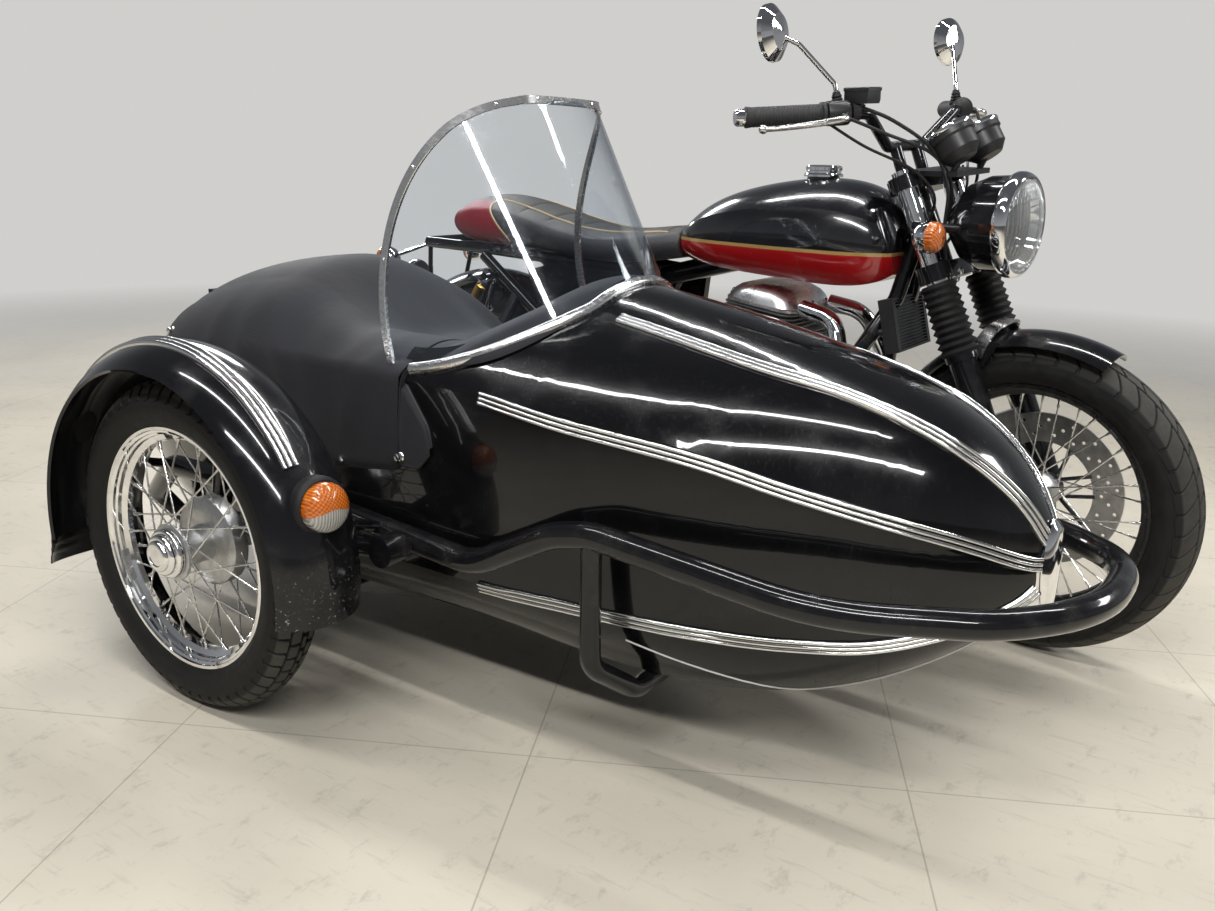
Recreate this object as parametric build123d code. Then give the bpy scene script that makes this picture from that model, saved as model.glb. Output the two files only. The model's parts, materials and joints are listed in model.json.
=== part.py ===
from build123d import *
from math import atan2, cos, hypot, pi, radians, sin, tan
import os

# A classic parallel-twin motorcycle with a one-seat touring sidecar on its right side, in millimetres.
# The axes are +X forward, +Y to the rider's left and +Z up. It is drawn about the floor point under the
# rear axle, and written out about the middle of the whole outfit's footprint. The handlebar, fork and
# front wheel are drawn straight ahead and then turned to where they stand when parked.

os.makedirs("parts", exist_ok=True)

# Motorcycle: wheels and steering geometry
wheelbase = 1400
rake = 24
trail = 106
parked_steer = -9.2
steering_lock = 38
front_tyre_radius = 318.5
front_tyre_width = 100
rear_tyre_radius = 319.5
rear_tyre_width = 130
rim_18_radius = 236
front_rim_width = 62
rear_rim_width = 92
spoke_radius = 2
axle_radius = 10
disc_thickness = 5
front_disc_radius = 160
rear_disc_radius = 120

# Sidecar: wheel place and size
sidecar_lead = 291
sidecar_track = 1151
sidecar_tyre_radius = 293
sidecar_tyre_width = 90
rim_16_radius = 213
sidecar_rim_width = 66

# Sidecar body
body_centre = -640
skin = 6
screen_thickness = 4
cover_thickness = 7
cloth_gap = 0.3

# Tube sizes
chassis_tube = 21
hanger_tube = 16.5
frame_tube = 16
rail_tube = 14
spine_tube = 24
bar_tube = 11

# Fork
leg_spread = 95
stanchion_radius = 20.5
slider_radius = 27
fork_offset = 32.7

# Running clearances
seat_gap = 0.3
turn_gap = 7

front_axle = Vector(wheelbase, 0, front_tyre_radius)
rear_axle = Vector(0, 0, rear_tyre_radius)
side_axle = Vector(sidecar_lead, -sidecar_track, sidecar_tyre_radius)
steer_direction = Vector(-sin(radians(rake)), 0, cos(radians(rake)))
steer_foot = Vector(wheelbase + trail, 0, 0)
steer_axis = Axis(steer_foot, steer_direction)
fork_plane = Plane(
    origin=front_axle,
    x_dir=(cos(radians(rake)), 0, sin(radians(rake))),
    z_dir=steer_direction,
)

parts = {}


def both_sides(shape):
    """The shape and its mirror image across the motorcycle's middle."""
    return shape + mirror(shape, about=Plane.XZ)


def tube(radius, points, bend=60):
    """A round tube along straight runs joined by bends."""
    path = FilletPolyline(*points, radius=bend) if len(points) > 2 else Line(*points)
    start = Plane(origin=path @ 0, z_dir=path % 0)
    return sweep(start * Circle(radius), path=path)


def rod(radius, start, end):
    """A straight round bar between two points."""
    start, end = Vector(*start), Vector(*end)
    run = end - start
    return Plane(origin=start, z_dir=run) * Cylinder(
        radius, run.length, align=(Align.CENTER, Align.CENTER, Align.MIN)
    )


def block(low, high):
    """A box between its lowest and highest corners."""
    size = [b - a for a, b in zip(low, high)]
    middle = [(a + b) / 2 for a, b in zip(low, high)]
    return Pos(*middle) * Box(*size)


def turned(outline, centre):
    """A ring made by turning an outline of (radius, y) points about a wheel's axle."""
    face = Face(Polyline(*[(r, y, 0) for r, y in outline], close=True).wire())
    return Pos(centre) * revolve(face, Axis.Y, 360)


def plate_xz(points, y_low, y_high):
    """A flat plate cut to an outline of (x, z) points, from y_low to y_high."""
    face = Face(Polyline(*[(x, y_low, z) for x, z in points], close=True).wire())
    return extrude(face, amount=y_high - y_low, dir=(0, 1, 0))


# Wheels: a rolled rim, a hub and crossed wire spokes
def wire_wheel(centre, rim_radius, rim_width, hub_radius, hub_width, spokes):
    half = rim_width / 2
    rim = turned(
        [
            (rim_radius, -half),
            (rim_radius, -half + 6),
            (rim_radius - 9, -half + 9),
            (rim_radius - 22, -half * 0.35),
            (rim_radius - 22, half * 0.35),
            (rim_radius - 9, half - 9),
            (rim_radius, half - 6),
            (rim_radius, half),
            (rim_radius - 14, half),
            (rim_radius - 27, half * 0.4),
            (rim_radius - 27, -half * 0.4),
            (rim_radius - 14, -half),
        ],
        centre,
    )
    flange = hub_radius * 0.55
    hub = turned(
        [
            (axle_radius + seat_gap, -hub_width / 2),
            (flange, -hub_width / 2),
            (hub_radius, -hub_width / 2 + 8),
            (hub_radius, -hub_width / 2 + 16),
            (flange, -hub_width / 2 + 22),
            (flange, hub_width / 2 - 22),
            (hub_radius, hub_width / 2 - 16),
            (hub_radius, hub_width / 2 - 8),
            (flange, hub_width / 2),
            (axle_radius + seat_gap, hub_width / 2),
        ],
        centre,
    )
    wires = []
    step = 360 / spokes
    for i in range(spokes):
        side = 1 if i % 2 else -1
        lean = 1 if i % 4 < 2 else -1
        outer = radians(i * step)
        inner = outer + lean * radians(52)
        start = (
            centre.X + (hub_radius - 4) * cos(inner),
            centre.Y + side * (hub_width / 2 - 12),
            centre.Z + (hub_radius - 4) * sin(inner),
        )
        end = (
            centre.X + (rim_radius - 24) * cos(outer),
            centre.Y + side * 5,
            centre.Z + (rim_radius - 24) * sin(outer),
        )
        wires.append(rod(spoke_radius, start, end))
    return (rim + hub).fuse(*wires)


def tyre(centre, tyre_radius, tyre_width, rim_radius, rim_width):
    """A tyre's section: bead, bulging wall and round crown."""
    half = tyre_width / 2
    seat = rim_width / 2 - 3
    bead = rim_radius + seat_gap
    height = tyre_radius - bead
    crown = tyre_radius - half * 0.42
    path = Wire(
        [
            Line((bead, -seat, 0), (bead, seat, 0)),
            ThreePointArc(
                (bead, seat, 0),
                (bead + height * 0.5, half, 0),
                (crown, half * 0.84, 0),
            ),
            ThreePointArc(
                (crown, half * 0.84, 0), (tyre_radius, 0, 0), (crown, -half * 0.84, 0)
            ),
            ThreePointArc(
                (crown, -half * 0.84, 0),
                (bead + height * 0.5, -half, 0),
                (bead, -seat, 0),
            ),
        ]
    )
    return Pos(centre) * revolve(Face(path), Axis.Y, 360)


def brake_disc(centre, radius, inner_radius, y_offset):
    return turned(
        [
            (inner_radius, y_offset),
            (radius, y_offset),
            (radius, y_offset + disc_thickness),
            (inner_radius, y_offset + disc_thickness),
        ],
        centre,
    )


# Fork pieces, drawn upright in the fork's own plane: x forward, z up along the legs
def on_legs(shape):
    """The shape at both fork legs."""
    pair = Pos(0, leg_spread, 0) * shape + Pos(0, -leg_spread, 0) * shape
    return fork_plane.location * pair


def fork_ring(outline):
    """A turned piece about a fork leg from (radius, height) points."""
    face = Face(Polyline(*[(r, 0, z) for r, z in outline], close=True).wire())
    return revolve(face, Axis.Z, 360)


leg_bottom = -26
slider_top = 318
gaiter_top = 462
lower_yoke = (466, 500)
upper_yoke = (652, 680)
leg_top = 690


def rounded_section(x, half, low, top, bulge, y_middle=0):
    """A loft section at x: flat bottom, bulging sides and an arched top."""
    shoulder = low + (top - low) * 0.72
    inner = half * 0.8
    left, right = y_middle + half, y_middle - half
    path = Wire(
        [
            Line((x, y_middle - inner, low), (x, y_middle + inner, low)),
            ThreePointArc(
                (x, y_middle + inner, low),
                (x, left + bulge, (low + shoulder) / 2),
                (x, left, shoulder),
            ),
            ThreePointArc((x, left, shoulder), (x, y_middle, top), (x, right, shoulder)),
            ThreePointArc(
                (x, right, shoulder),
                (x, right - bulge, (low + shoulder) / 2),
                (x, y_middle - inner, low),
            ),
        ]
    )
    return Face(path)


# Motorcycle: road wheels
front_wheel = wire_wheel(front_axle, rim_18_radius, front_rim_width, 52, 130, 36)
front_wheel += brake_disc(front_axle, front_disc_radius, 20, 60)
rear_wheel = wire_wheel(rear_axle, rim_18_radius, rear_rim_width, 62, 150, 36)
rear_wheel += brake_disc(rear_axle, rear_disc_radius, 24, -75)
parts["front_tyre"] = tyre(
    front_axle, front_tyre_radius, front_tyre_width, rim_18_radius, front_rim_width
)
parts["rear_tyre"] = tyre(
    rear_axle, rear_tyre_radius, rear_tyre_width, rim_18_radius, rear_rim_width
)

# Rear sprocket and chain on the left side
chain_line = 92
chain_width = 14
chain_height = 12
rear_sprocket_radius = 88
front_sprocket_radius = 36
front_sprocket = Vector(500, chain_line, 345)
sprocket = turned(
    [
        (30, chain_line - 3),
        (rear_sprocket_radius - chain_height / 2, chain_line - 3),
        (rear_sprocket_radius - chain_height / 2, chain_line + 3),
        (30, chain_line + 3),
    ],
    rear_axle,
)
carrier_bore = axle_radius + seat_gap
sprocket_carrier = turned(
    [(carrier_bore, 74), (44, 74), (44, chain_line - 3), (carrier_bore, chain_line - 3)],
    rear_axle,
)
parts["rear_wheel"] = rear_wheel + sprocket + sprocket_carrier
parts["front_wheel"] = front_wheel


def chain_band(grow, width=chain_width):
    """The chain's closed outline round both sprockets, offset outward by grow."""
    low_y = chain_line - width / 2
    big = rear_sprocket_radius + grow
    small = front_sprocket_radius + grow
    run = front_sprocket - rear_axle
    slope = atan2(run.Z, hypot(run.X, 0))
    lean = (big - small) / hypot(run.X, run.Z)
    top = slope + pi / 2 - lean
    bottom = slope - pi / 2 + lean

    def at(centre, radius, angle):
        return (centre.X + radius * cos(angle), low_y, centre.Z + radius * sin(angle))

    path = Wire(
        [
            ThreePointArc(
                at(rear_axle, big, top), at(rear_axle, big, slope + pi), at(rear_axle, big, bottom)
            ),
            Line(at(rear_axle, big, bottom), at(front_sprocket, small, bottom)),
            ThreePointArc(
                at(front_sprocket, small, bottom),
                at(front_sprocket, small, slope),
                at(front_sprocket, small, top),
            ),
            Line(at(front_sprocket, small, top), at(rear_axle, big, top)),
        ]
    )
    return extrude(Face(path), amount=width, dir=(0, 1, 0))


parts["drive_chain"] = chain_band(chain_height / 2) - chain_band(-chain_height / 2 + seat_gap)
chain_way = chain_band(chain_height / 2 + 4, chain_width + 6)
chain_way -= chain_band(-chain_height / 2 - 4, chain_width + 8)

# Motorcycle: frame
head_tube = 27
stem_radius = 15


def fork_point(forward, along):
    """A point of the fork's middle plane: forward of the axle and up along the legs."""
    return fork_plane.from_local_coords(Vector(forward, 0, along))


bore_low, bore_high = fork_point(-fork_offset, 440), fork_point(-fork_offset, 700)
steering_bore = rod(stem_radius + seat_gap, bore_low, bore_high)
frame = rod(
    head_tube,
    fork_point(-fork_offset, lower_yoke[1] + 1),
    fork_point(-fork_offset, upper_yoke[0] - 1),
)
frame += tube(spine_tube, [(1118, 0, 838), (900, 0, 790), (520, 0, 690)], 120)
cradle = tube(
    frame_tube,
    [
        (1122, 14, 822),
        (1098, 44, 690),
        (1040, 112, 560),
        (1015, 116, 330),
        (930, 120, 205),
        (470, 120, 205),
        (385, 120, 330),
        (400, 118, 500),
        (520, 75, 700),
    ],
    70,
)
seat_rail = tube(rail_tube, [(520, 60, 704), (300, 95, 716), (60, 100, 728), (-170, 85, 732)], 80)
rear_stay = tube(rail_tube, [(392, 118, 420), (250, 114, 560), (40, 104, 712)], 60)
frame += both_sides(seat_rail + rear_stay)
frame += rod(rail_tube, (-170, -85, 732), (-170, 85, 732))
swing_pivot = Vector(440, 0, 352)
pivot_outline = [(372, 430), (372, 320), (400, 285), (465, 318), (472, 385), (415, 430)]
pivot_plate = plate_xz(pivot_outline, 100.5, 106.5)
shock_top = Vector(96, 150, 668)
frame += both_sides(rod(9, (shock_top.X, 95, shock_top.Z), (shock_top.X, 172, shock_top.Z)))
case_half = 80
front_mount = block((945, case_half, 335), (1012, 108, 365))
rear_mount = block((462, -60, 215), (486, 60, 246))
frame -= steering_bore
cradle_left = cradle + pivot_plate + front_mount - frame - steering_bore
cradle_right = mirror(cradle_left, about=Plane.XZ)
cross_tube = rod(frame_tube, (470, -120, 205), (470, 120, 205)) + rear_mount
fender_stay = rod(6, (-165, 84, 728), (-188, 66, 590))

# Engine: crankcase, side covers, finned barrels and head
case = plate_xz(
    [(500, 240), (900, 235), (965, 290), (965, 400), (900, 470), (640, 480), (470, 455), (455, 300)],
    -case_half,
    case_half,
)
case += both_sides(Pos(830, 115, 340) * Rot(90, 0, 0) * Cylinder(98, 72))
case += Pos(610, -108, 350) * Rot(90, 0, 0) * Cylinder(112, 60)
case += Pos(530, 102, 345) * Rot(90, 0, 0) * Cylinder(62, 50)
barrel_lean = 8
fin_count = 11
fin_pitch = 13
barrel_base = 470
barrel = Pos(0, 0, 72) * Box(150, 190, 160)
for i in range(fin_count):
    level = i * fin_pitch + 8
    barrel += Pos(0, 0, level) * Box(196, 246, 4)
head_block = Pos(0, 0, 176) * Box(170, 240, 56)
rocker_cover = Pos(0, 0, 214) * Box(130, 232, 26)
barrel_place = Location((790, 0, barrel_base), (0, barrel_lean, 0))
barrel_top = barrel_place * (barrel + head_block + rocker_cover)

# Exhausts: header pipes swept under the engine to long silencers
header_radius = 19
silencer_radius = 44
silencer_profile = [(0, 0), (24, 0), (silencer_radius, 70), (silencer_radius, 470), (30, 600), (0, 600)]
header = tube(
    header_radius,
    [(905, 70, 655), (985, 82, 640), (1050, 150, 470), (1010, 165, 240), (880, 172, 195), (430, 182, 212)],
    60,
)
silencer_start = Vector(430, 182, 212)
silencer_end = Vector(-160, 205, 268)
silencer_axis = Plane(origin=silencer_start, z_dir=silencer_end - silencer_start)
silencer = silencer_axis.location * fork_ring(silencer_profile)

# Tank, seat, side panels and rear mudguard
tank_table = [  # x, half width, underside, top, side bulge
    (588, 58, 752, 800, 4),
    (650, 100, 738, 862, 8),
    (770, 128, 726, 906, 10),
    (900, 138, 718, 925, 12),
    (1020, 128, 716, 912, 12),
    (1095, 78, 742, 850, 6),
]
seat_table = [  # x, half width, underside, top, side bulge
    (-95, 62, 778, 806, 4),
    (-40, 104, 752, 846, 6),
    (150, 124, 740, 846, 8),
    (310, 128, 728, 806, 8),
    (480, 114, 724, 800, 8),
    (598, 76, 742, 812, 6),
]
tank = loft([rounded_section(*row) for row in tank_table])
seat = loft([rounded_section(*row) for row in seat_table])
tunnel = tube(spine_tube + seat_gap, [(1118, 0, 838), (900, 0, 790), (520, 0, 690)], 120)
cap_radius = 34
fuel_cap = Pos(900, 0, 932) * Cylinder(cap_radius, 22)

side_panel_outline = [(560, 700), (300, 715), (215, 690), (290, 500), (400, 430), (545, 560)]
side_panel = plate_xz(side_panel_outline, 124, 146)

fender_radius = 350
fender_half = 78
fender_sheet = 4


def mudguard_arc(centre, radius, half, drop, sheet, ahead, sweep_angle, shift=0):
    """A rounded mudguard over a wheel, from an angle ahead of straight up, swept rearward."""
    outer = ThreePointArc(
        (radius - drop, shift - half, 0), (radius, shift, 0), (radius - drop, shift + half, 0)
    )
    inner = ThreePointArc(
        (radius - drop - sheet, shift - half + sheet, 0),
        (radius - sheet, shift, 0),
        (radius - drop - sheet, shift + half - sheet, 0),
    )
    face = Face(Wire([outer, Line(outer @ 1, inner @ 1), inner, Line(inner @ 0, outer @ 0)]))
    face = face.rotate(Axis.Y, ahead - 90)
    return Pos(centre) * revolve(face, Axis((0, 0, 0), (0, -1, 0)), sweep_angle)


rear_fender = mudguard_arc(rear_axle, fender_radius, fender_half, 26, fender_sheet, 48, 112)
fender_fill = mudguard_arc(rear_axle, fender_radius + seat_gap, fender_half, 26, 60, 48, 112)


# Fork, yokes and everything that turns with the handlebar
fork_sliders = on_legs(
    fork_ring(
        [
            (0, leg_bottom),
            (22, leg_bottom),
            (slider_radius, -8),
            (slider_radius, slider_top - 14),
            (slider_radius + 4, slider_top - 12),
            (slider_radius + 4, slider_top),
            (stanchion_radius, slider_top),
            (stanchion_radius, 60),
            (0, 60),
        ]
    )
)
fork_tubes = on_legs(rod(stanchion_radius, (0, 0, 60), (0, 0, leg_top)))
gaiter_ribs = 10
gaiter_inner, gaiter_low, gaiter_high = 25, 31, 39
rib_pitch = (gaiter_top - slider_top) / gaiter_ribs
gaiter_outline = [(stanchion_radius, slider_top)]
for i in range(gaiter_ribs):
    gaiter_outline.append((gaiter_low, slider_top + i * rib_pitch))
    gaiter_outline.append((gaiter_high - 0.4 * i, slider_top + (i + 0.5) * rib_pitch))
gaiter_outline.append((gaiter_low, gaiter_top))
gaiter_outline.append((stanchion_radius, gaiter_top))
fork_gaiters = on_legs(fork_ring(gaiter_outline))


def yoke(levels, clamp_radius, margin=0):
    """A yoke, larger all round by a margin: two fork clamps joined by a web through the stem."""
    low, high = levels
    height = high - low + 2 * margin
    web = Pos(-14, 0, (low + high) / 2) * Box(48 + 2 * margin, 2 * leg_spread, height)
    web += Pos(-fork_offset, 0, (low + high) / 2) * Cylinder(28 + margin, height)
    for side in (-1, 1):
        web += Pos(0, side * leg_spread, (low + high) / 2) * Cylinder(clamp_radius + margin, height)
    return web


stem = Pos(-fork_offset, 0, (lower_yoke[0] + upper_yoke[1]) / 2) * Cylinder(
    stem_radius, upper_yoke[1] - lower_yoke[0] + 24
)
yokes = fork_plane.location * (yoke(lower_yoke, 33) + yoke(upper_yoke, 31) + stem)
fork_yokes = yokes - fork_tubes
spindle_end = Vector(0, leg_spread - 4, 0)
front_spindle = rod(axle_radius, front_axle - spindle_end, front_axle + spindle_end)
lock_path = on_legs(rod(stanchion_radius + turn_gap, (0, 0, slider_top), (0, 0, leg_top)))
lock_path += fork_plane.location * (yoke(upper_yoke, 31, turn_gap) + yoke(lower_yoke, 33, turn_gap))
fork_sliders = fork_sliders + front_spindle

lamp_x = 1252
lamp_z = 850
lamp_radius = 96
bucket_depth = 118
bucket_profile = [(0, 0), (40, 6), (74, 34), (90, 72), (lamp_radius - 3, bucket_depth), (0, bucket_depth)]
lamp_axis = Plane(origin=(lamp_x - 62, 0, lamp_z), x_dir=(0, 1, 0), z_dir=(1, 0, 0))
headlamp_shell = lamp_axis.location * fork_ring(bucket_profile)
rim_profile = [
    (0, bucket_depth),
    (lamp_radius - 3, bucket_depth),
    (lamp_radius + 3, bucket_depth + 6),
    (lamp_radius, bucket_depth + 20),
    (lamp_radius - 9, bucket_depth + 26),
    (50, bucket_depth + 34),
    (0, bucket_depth + 38),
]
headlamp_lens = lamp_axis.location * fork_ring(rim_profile)
lamp_ears = both_sides(
    rod(9, (lamp_x - 88, leg_spread + 22, lamp_z), (lamp_x + 8, leg_spread + 22, lamp_z))
    + rod(7, (lamp_x - 6, 78, lamp_z), (lamp_x - 6, leg_spread + 22, lamp_z))
)

pod_radius = 46
pod_height = 62

pod_profile = [
    (0, 0),
    (26, 0),
    (40, 16),
    (pod_radius - 4, 42),
    (pod_radius, 46),
    (pod_radius, pod_height),
    (0, pod_height),
]
pod_tilt = -36
gauges = both_sides(Location((1226, 56, 972), (0, pod_tilt, 0)) * fork_ring(pod_profile))
gauges += block((1112, -70, 940), (1222, 70, 950))
gauges += both_sides(rod(6, (1205, 56, 946), (1226, 56, 990)))

bar_points = [
    (1070, 0, 992),
    (1072, 70, 992),
    (1086, 175, 1058),
    (1062, 250, 1060),
    (962, 385, 1056),
]
half_bar = tube(bar_tube, bar_points, 34)
handlebar = both_sides(half_bar)
risers = both_sides(rod(12, (1100, 42, 925), (1074, 42, 990)))
grip_start = Vector(1046, 272, 1059.5)
grip_end = Vector(958, 390, 1056)
bar_grips = both_sides(rod(17, grip_start, grip_end)) - handlebar
lever_points = [(1062, 262, 1060), (1098, 262, 1052), (1080, 320, 1044), (1006, 392, 1036)]
controls = both_sides(
    tube(5, lever_points, 18)
    + Pos(1058, 250, 1060) * Rot(0, 0, -50) * Cylinder(19, 34, rotation=(90, 0, 0))
)
controls += Pos(1084, -205, 1092) * Cylinder(24, 30) + rod(9, (1080, -205, 1060), (1084, -205, 1085))
controls -= handlebar
mirror_place = Vector(982, 340, 1200)
mirror_radius = 50
mirror_head = Plane(origin=mirror_place, z_dir=(1, -0.15, 0.12)).location * fork_ring(
    [(0, -8), (mirror_radius, -8), (mirror_radius, 0), (mirror_radius - 18, 14), (0, 20)]
)
mirror_stem = tube(4.5, [(1058, 236, 1070), (1052, 240, 1110), (1010, 300, 1180), (990, 334, 1196)], 20)
mirrors = both_sides(mirror_head + mirror_stem) - handlebar - controls

indicator_profile = [(0, -30), (16, -26), (28, -8), (30, 0), (28, 12), (14, 24), (0, 26)]
indicator_point = Vector(1226, 168, 838)
blinker_plane = Plane(origin=indicator_point, x_dir=(0, 1, 0), z_dir=(1, 0, 0))
blinker = blinker_plane.location * fork_ring(indicator_profile)
blinker_stalk = rod(7, (1188, 122, 840), (1212, 160, 838))
front_indicators = both_sides(blinker + blinker_stalk)

fender_front_radius = 338
front_fender = mudguard_arc(front_axle, fender_front_radius, 60, 22, 3, 24, 98)
fender_plate = plate_xz([(1256, 572), (1296, 572), (1330, 632), (1270, 632)], 55, 61)
front_fender += both_sides(fender_plate + rod(6, (1279, 58, 590), (1279, 84, 590)))

caliper = plate_xz([(1258, 440), (1330, 478), (1345, 400), (1290, 372)], 46, 88)
disc_slot = Pos(wheelbase, 62.5, front_tyre_radius) * Rot(90, 0, 0) * Cylinder(front_disc_radius + 5, 15)
caliper -= disc_slot


# Sidecar body: one smooth shell from the pointed nose to the rounded tail
body_table = [  # x, deck half, deck z, crown z, strip half, strip z, low half, low z, floor half, floor z
    (1575, 12, 455, 459, 22, 405, 16, 355, 8, 345),
    (1480, 75, 565, 577, 125, 438, 100, 325, 50, 268),
    (1300, 125, 635, 662, 215, 508, 190, 275, 140, 185),
    (880, 120, 712, 748, 290, 580, 285, 260, 220, 165),
    (300, 150, 725, 765, 300, 600, 295, 262, 235, 165),
    (-200, 115, 632, 664, 222, 535, 228, 282, 178, 192),
    (-425, 58, 502, 526, 114, 444, 124, 314, 90, 250),
    (-520, 18, 412, 420, 40, 390, 42, 340, 28, 320),
]


def bulged(start, end, bulge):
    """An arc between two points that stands out from the body's middle by bulge."""
    start, end = Vector(*start), Vector(*end)
    middle = (start + end) * 0.5
    run = (end - start).normalized()
    outward = Vector(0, -run.Z, run.Y)
    if outward.Y * (middle.Y - body_centre) < 0:
        outward = -outward
    return ThreePointArc(start, middle + outward * bulge, end)


def body_section(row, inset):
    """One cross-section of the body, drawn inward by inset."""
    x, deck, deck_z, crown, strip, strip_z, low, low_z, floor, floor_z = row
    scale = min(1, strip / 120)

    def at(half, z, side):
        return (x, body_centre + side * half, z)

    edges = []
    for side in (1, -1):
        deck_point = at(deck - inset * 0.6, deck_z - inset * 0.8, side)
        strip_point = at(strip - inset, strip_z - inset * 0.2, side)
        low_point = at(low - inset, low_z + inset * 0.2, side)
        floor_point = at(floor - inset * 0.5, floor_z + inset, side)
        run = [
            bulged(deck_point, strip_point, 14 * scale),
            bulged(strip_point, low_point, 10 * scale),
            bulged(low_point, floor_point, 8 * scale),
        ]
        edges += run if side == 1 else [ThreePointArc(e @ 1, e @ 0.5, e @ 0) for e in reversed(run)]
        if side == 1:
            other = at(floor - inset * 0.5, floor_z + inset, -1)
            edges.append(Line(floor_point, other))
    first, last = edges[0] @ 0, edges[-1] @ 1
    edges.append(ThreePointArc(last, (x, body_centre, crown - inset), first))
    return Face(Wire(edges))


def body_solid(inset, rows):
    return loft([body_section(row, inset) for row in rows])


body_outer = body_solid(0, body_table)
body_inner = body_solid(skin, body_table[1:-1])


def surface_height(shape, x, y):
    """The height of a shape's top at one place."""
    return (shape & block((x - 0.5, y - 0.5, -500), (x + 0.5, y + 0.5, 3000))).bounding_box().max.Z


# Wind screen: a bent sheet that leans back, with its free edge swept up from the shoulders
screen_low_z, screen_high_z = 540, 1060
screen_low_front, screen_high_front = 975, 700
screen_low_half, screen_high_half = 293, 240
screen_leg = 300


def screen_section(z, front, half, inset):
    half -= inset
    centre = front - inset - half
    back = centre - screen_leg
    path = Wire(
        [
            Line((back, body_centre - half, z), (centre, body_centre - half, z)),
            ThreePointArc(
                (centre, body_centre - half, z),
                (centre + half, body_centre, z),
                (centre, body_centre + half, z),
            ),
            Line((centre, body_centre + half, z), (back, body_centre + half, z)),
            Line((back, body_centre + half, z), (back, body_centre - half, z)),
        ]
    )
    return Face(path)


def screen_cone(inset):
    low = screen_section(screen_low_z, screen_low_front, screen_low_half, inset)
    high = screen_section(screen_high_z, screen_high_front, screen_high_half, inset)
    return loft([low, high], ruled=True)


edge_low = (603, body_centre, 545)
edge_bow = (533, body_centre, 810)
edge_shoulder = (612, body_centre, 990)
edge_turn = (662, body_centre, 1030)
edge_top = (728, body_centre, 1050)
screen_side = Face(
    Wire(
        [
            ThreePointArc(edge_low, edge_bow, edge_shoulder),
            ThreePointArc(edge_shoulder, edge_turn, edge_top),
            Line(edge_top, (1000, body_centre, 1050)),
            Line((1000, body_centre, 1050), (1000, body_centre, 545)),
            Line((1000, body_centre, 545), edge_low),
        ]
    )
)
screen_trim = extrude(screen_side, amount=400, dir=(0, 1, 0), both=True)
wind_screen = (screen_cone(0) - screen_cone(screen_thickness)) & screen_trim
wind_screen -= body_outer

# Cockpit opening: open on top behind the screen and cut low on the entry side
opening_rear = -205
opening_front = 838
opening_half = 262
opening_bend = opening_front - opening_half
side_cut_z = 470
opening_plan = Face(
    Wire(
        [
            Line((opening_rear, body_centre - 150, 560), (60, body_centre - opening_half, 560)),
            Line((60, body_centre - opening_half, 560), (opening_bend, body_centre - opening_half, 560)),
            ThreePointArc(
                (opening_bend, body_centre - opening_half, 560),
                (opening_front, body_centre, 560),
                (opening_bend, body_centre + opening_half, 560),
            ),
            Line((opening_bend, body_centre + opening_half, 560), (60, body_centre + opening_half, 560)),
            Line((60, body_centre + opening_half, 560), (opening_rear, body_centre + 150, 560)),
            Line((opening_rear, body_centre + 150, 560), (opening_rear, body_centre - 150, 560)),
        ]
    )
)
opening_top = extrude(opening_plan, amount=500, dir=(0, 0, 1))
entry_cut = plate_xz(
    [(-20, 900), (20, 540), (110, side_cut_z), (520, side_cut_z), (575, 520), (590, 900)],
    body_centre - 400,
    body_centre - 120,
)
far_cut = plate_xz([(-40, 900), (0, 570), (560, 570), (590, 900)], body_centre + 120, body_centre + 400)
body_shell = body_outer - body_inner - opening_top - entry_cut - far_cut

# Tail lid over the luggage space, hinged at its front edge
lid_front, lid_rear = -262, -412
lid_front_half, lid_rear_half = 78, 44
lid_gap = 3


def lid_prism(grow):
    low = 440
    outline = [
        (lid_front + grow, body_centre - lid_front_half - grow, low),
        (lid_front + grow, body_centre + lid_front_half + grow, low),
        (lid_rear - grow, body_centre + lid_rear_half + grow, low),
        (lid_rear - grow, body_centre - lid_rear_half - grow, low),
    ]
    return extrude(Face(Polyline(*outline, close=True).wire()), amount=400, dir=(0, 0, 1))


lid_panel = (body_outer - body_inner) & lid_prism(0)
body_shell -= lid_prism(lid_gap)
hinge_x = lid_front + 1
hinge_z = surface_height(body_outer, hinge_x, body_centre) + 7
hinge_radius = 5
hinge_pin = 2.5
hinge_half = 30
ear_low, ear_high = hinge_half + seat_gap * 2, 44


def hinge_rod(radius, half):
    """A round bar along the lid's hinge line, half its length to each side."""
    return rod(radius, (hinge_x, body_centre - half, hinge_z), (hinge_x, body_centre + half, hinge_z))


lid_knuckle = hinge_rod(hinge_radius, hinge_half)
lid_strap = block(
    (hinge_x - 46, body_centre - hinge_half, hinge_z - 16),
    (hinge_x, body_centre + hinge_half, hinge_z),
)
hinge_bore = hinge_rod(hinge_pin + 0.1, 60)
pin = hinge_rod(hinge_pin, ear_high)

ear_plates = []
for side in (-1, 1):
    y_one, y_two = body_centre + side * ear_low, body_centre + side * ear_high
    ear_plates.append(
        plate_xz(
            [
                (hinge_x - hinge_radius, hinge_z + hinge_radius),
                (hinge_x + 10, hinge_z + hinge_radius),
                (hinge_x + 34, hinge_z - 14),
                (hinge_x + 10, hinge_z - 20),
                (hinge_x - hinge_radius, hinge_z - 8),
            ],
            min(y_one, y_two),
            max(y_one, y_two),
        )
        - lid_prism(lid_gap - 1)
    )
body_shell = body_shell.fuse(*ear_plates, pin)
boot_lid = lid_panel + ((lid_strap - body_inner) & lid_prism(0)) + lid_knuckle - hinge_bore
boot_lid = boot_lid - pin

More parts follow.
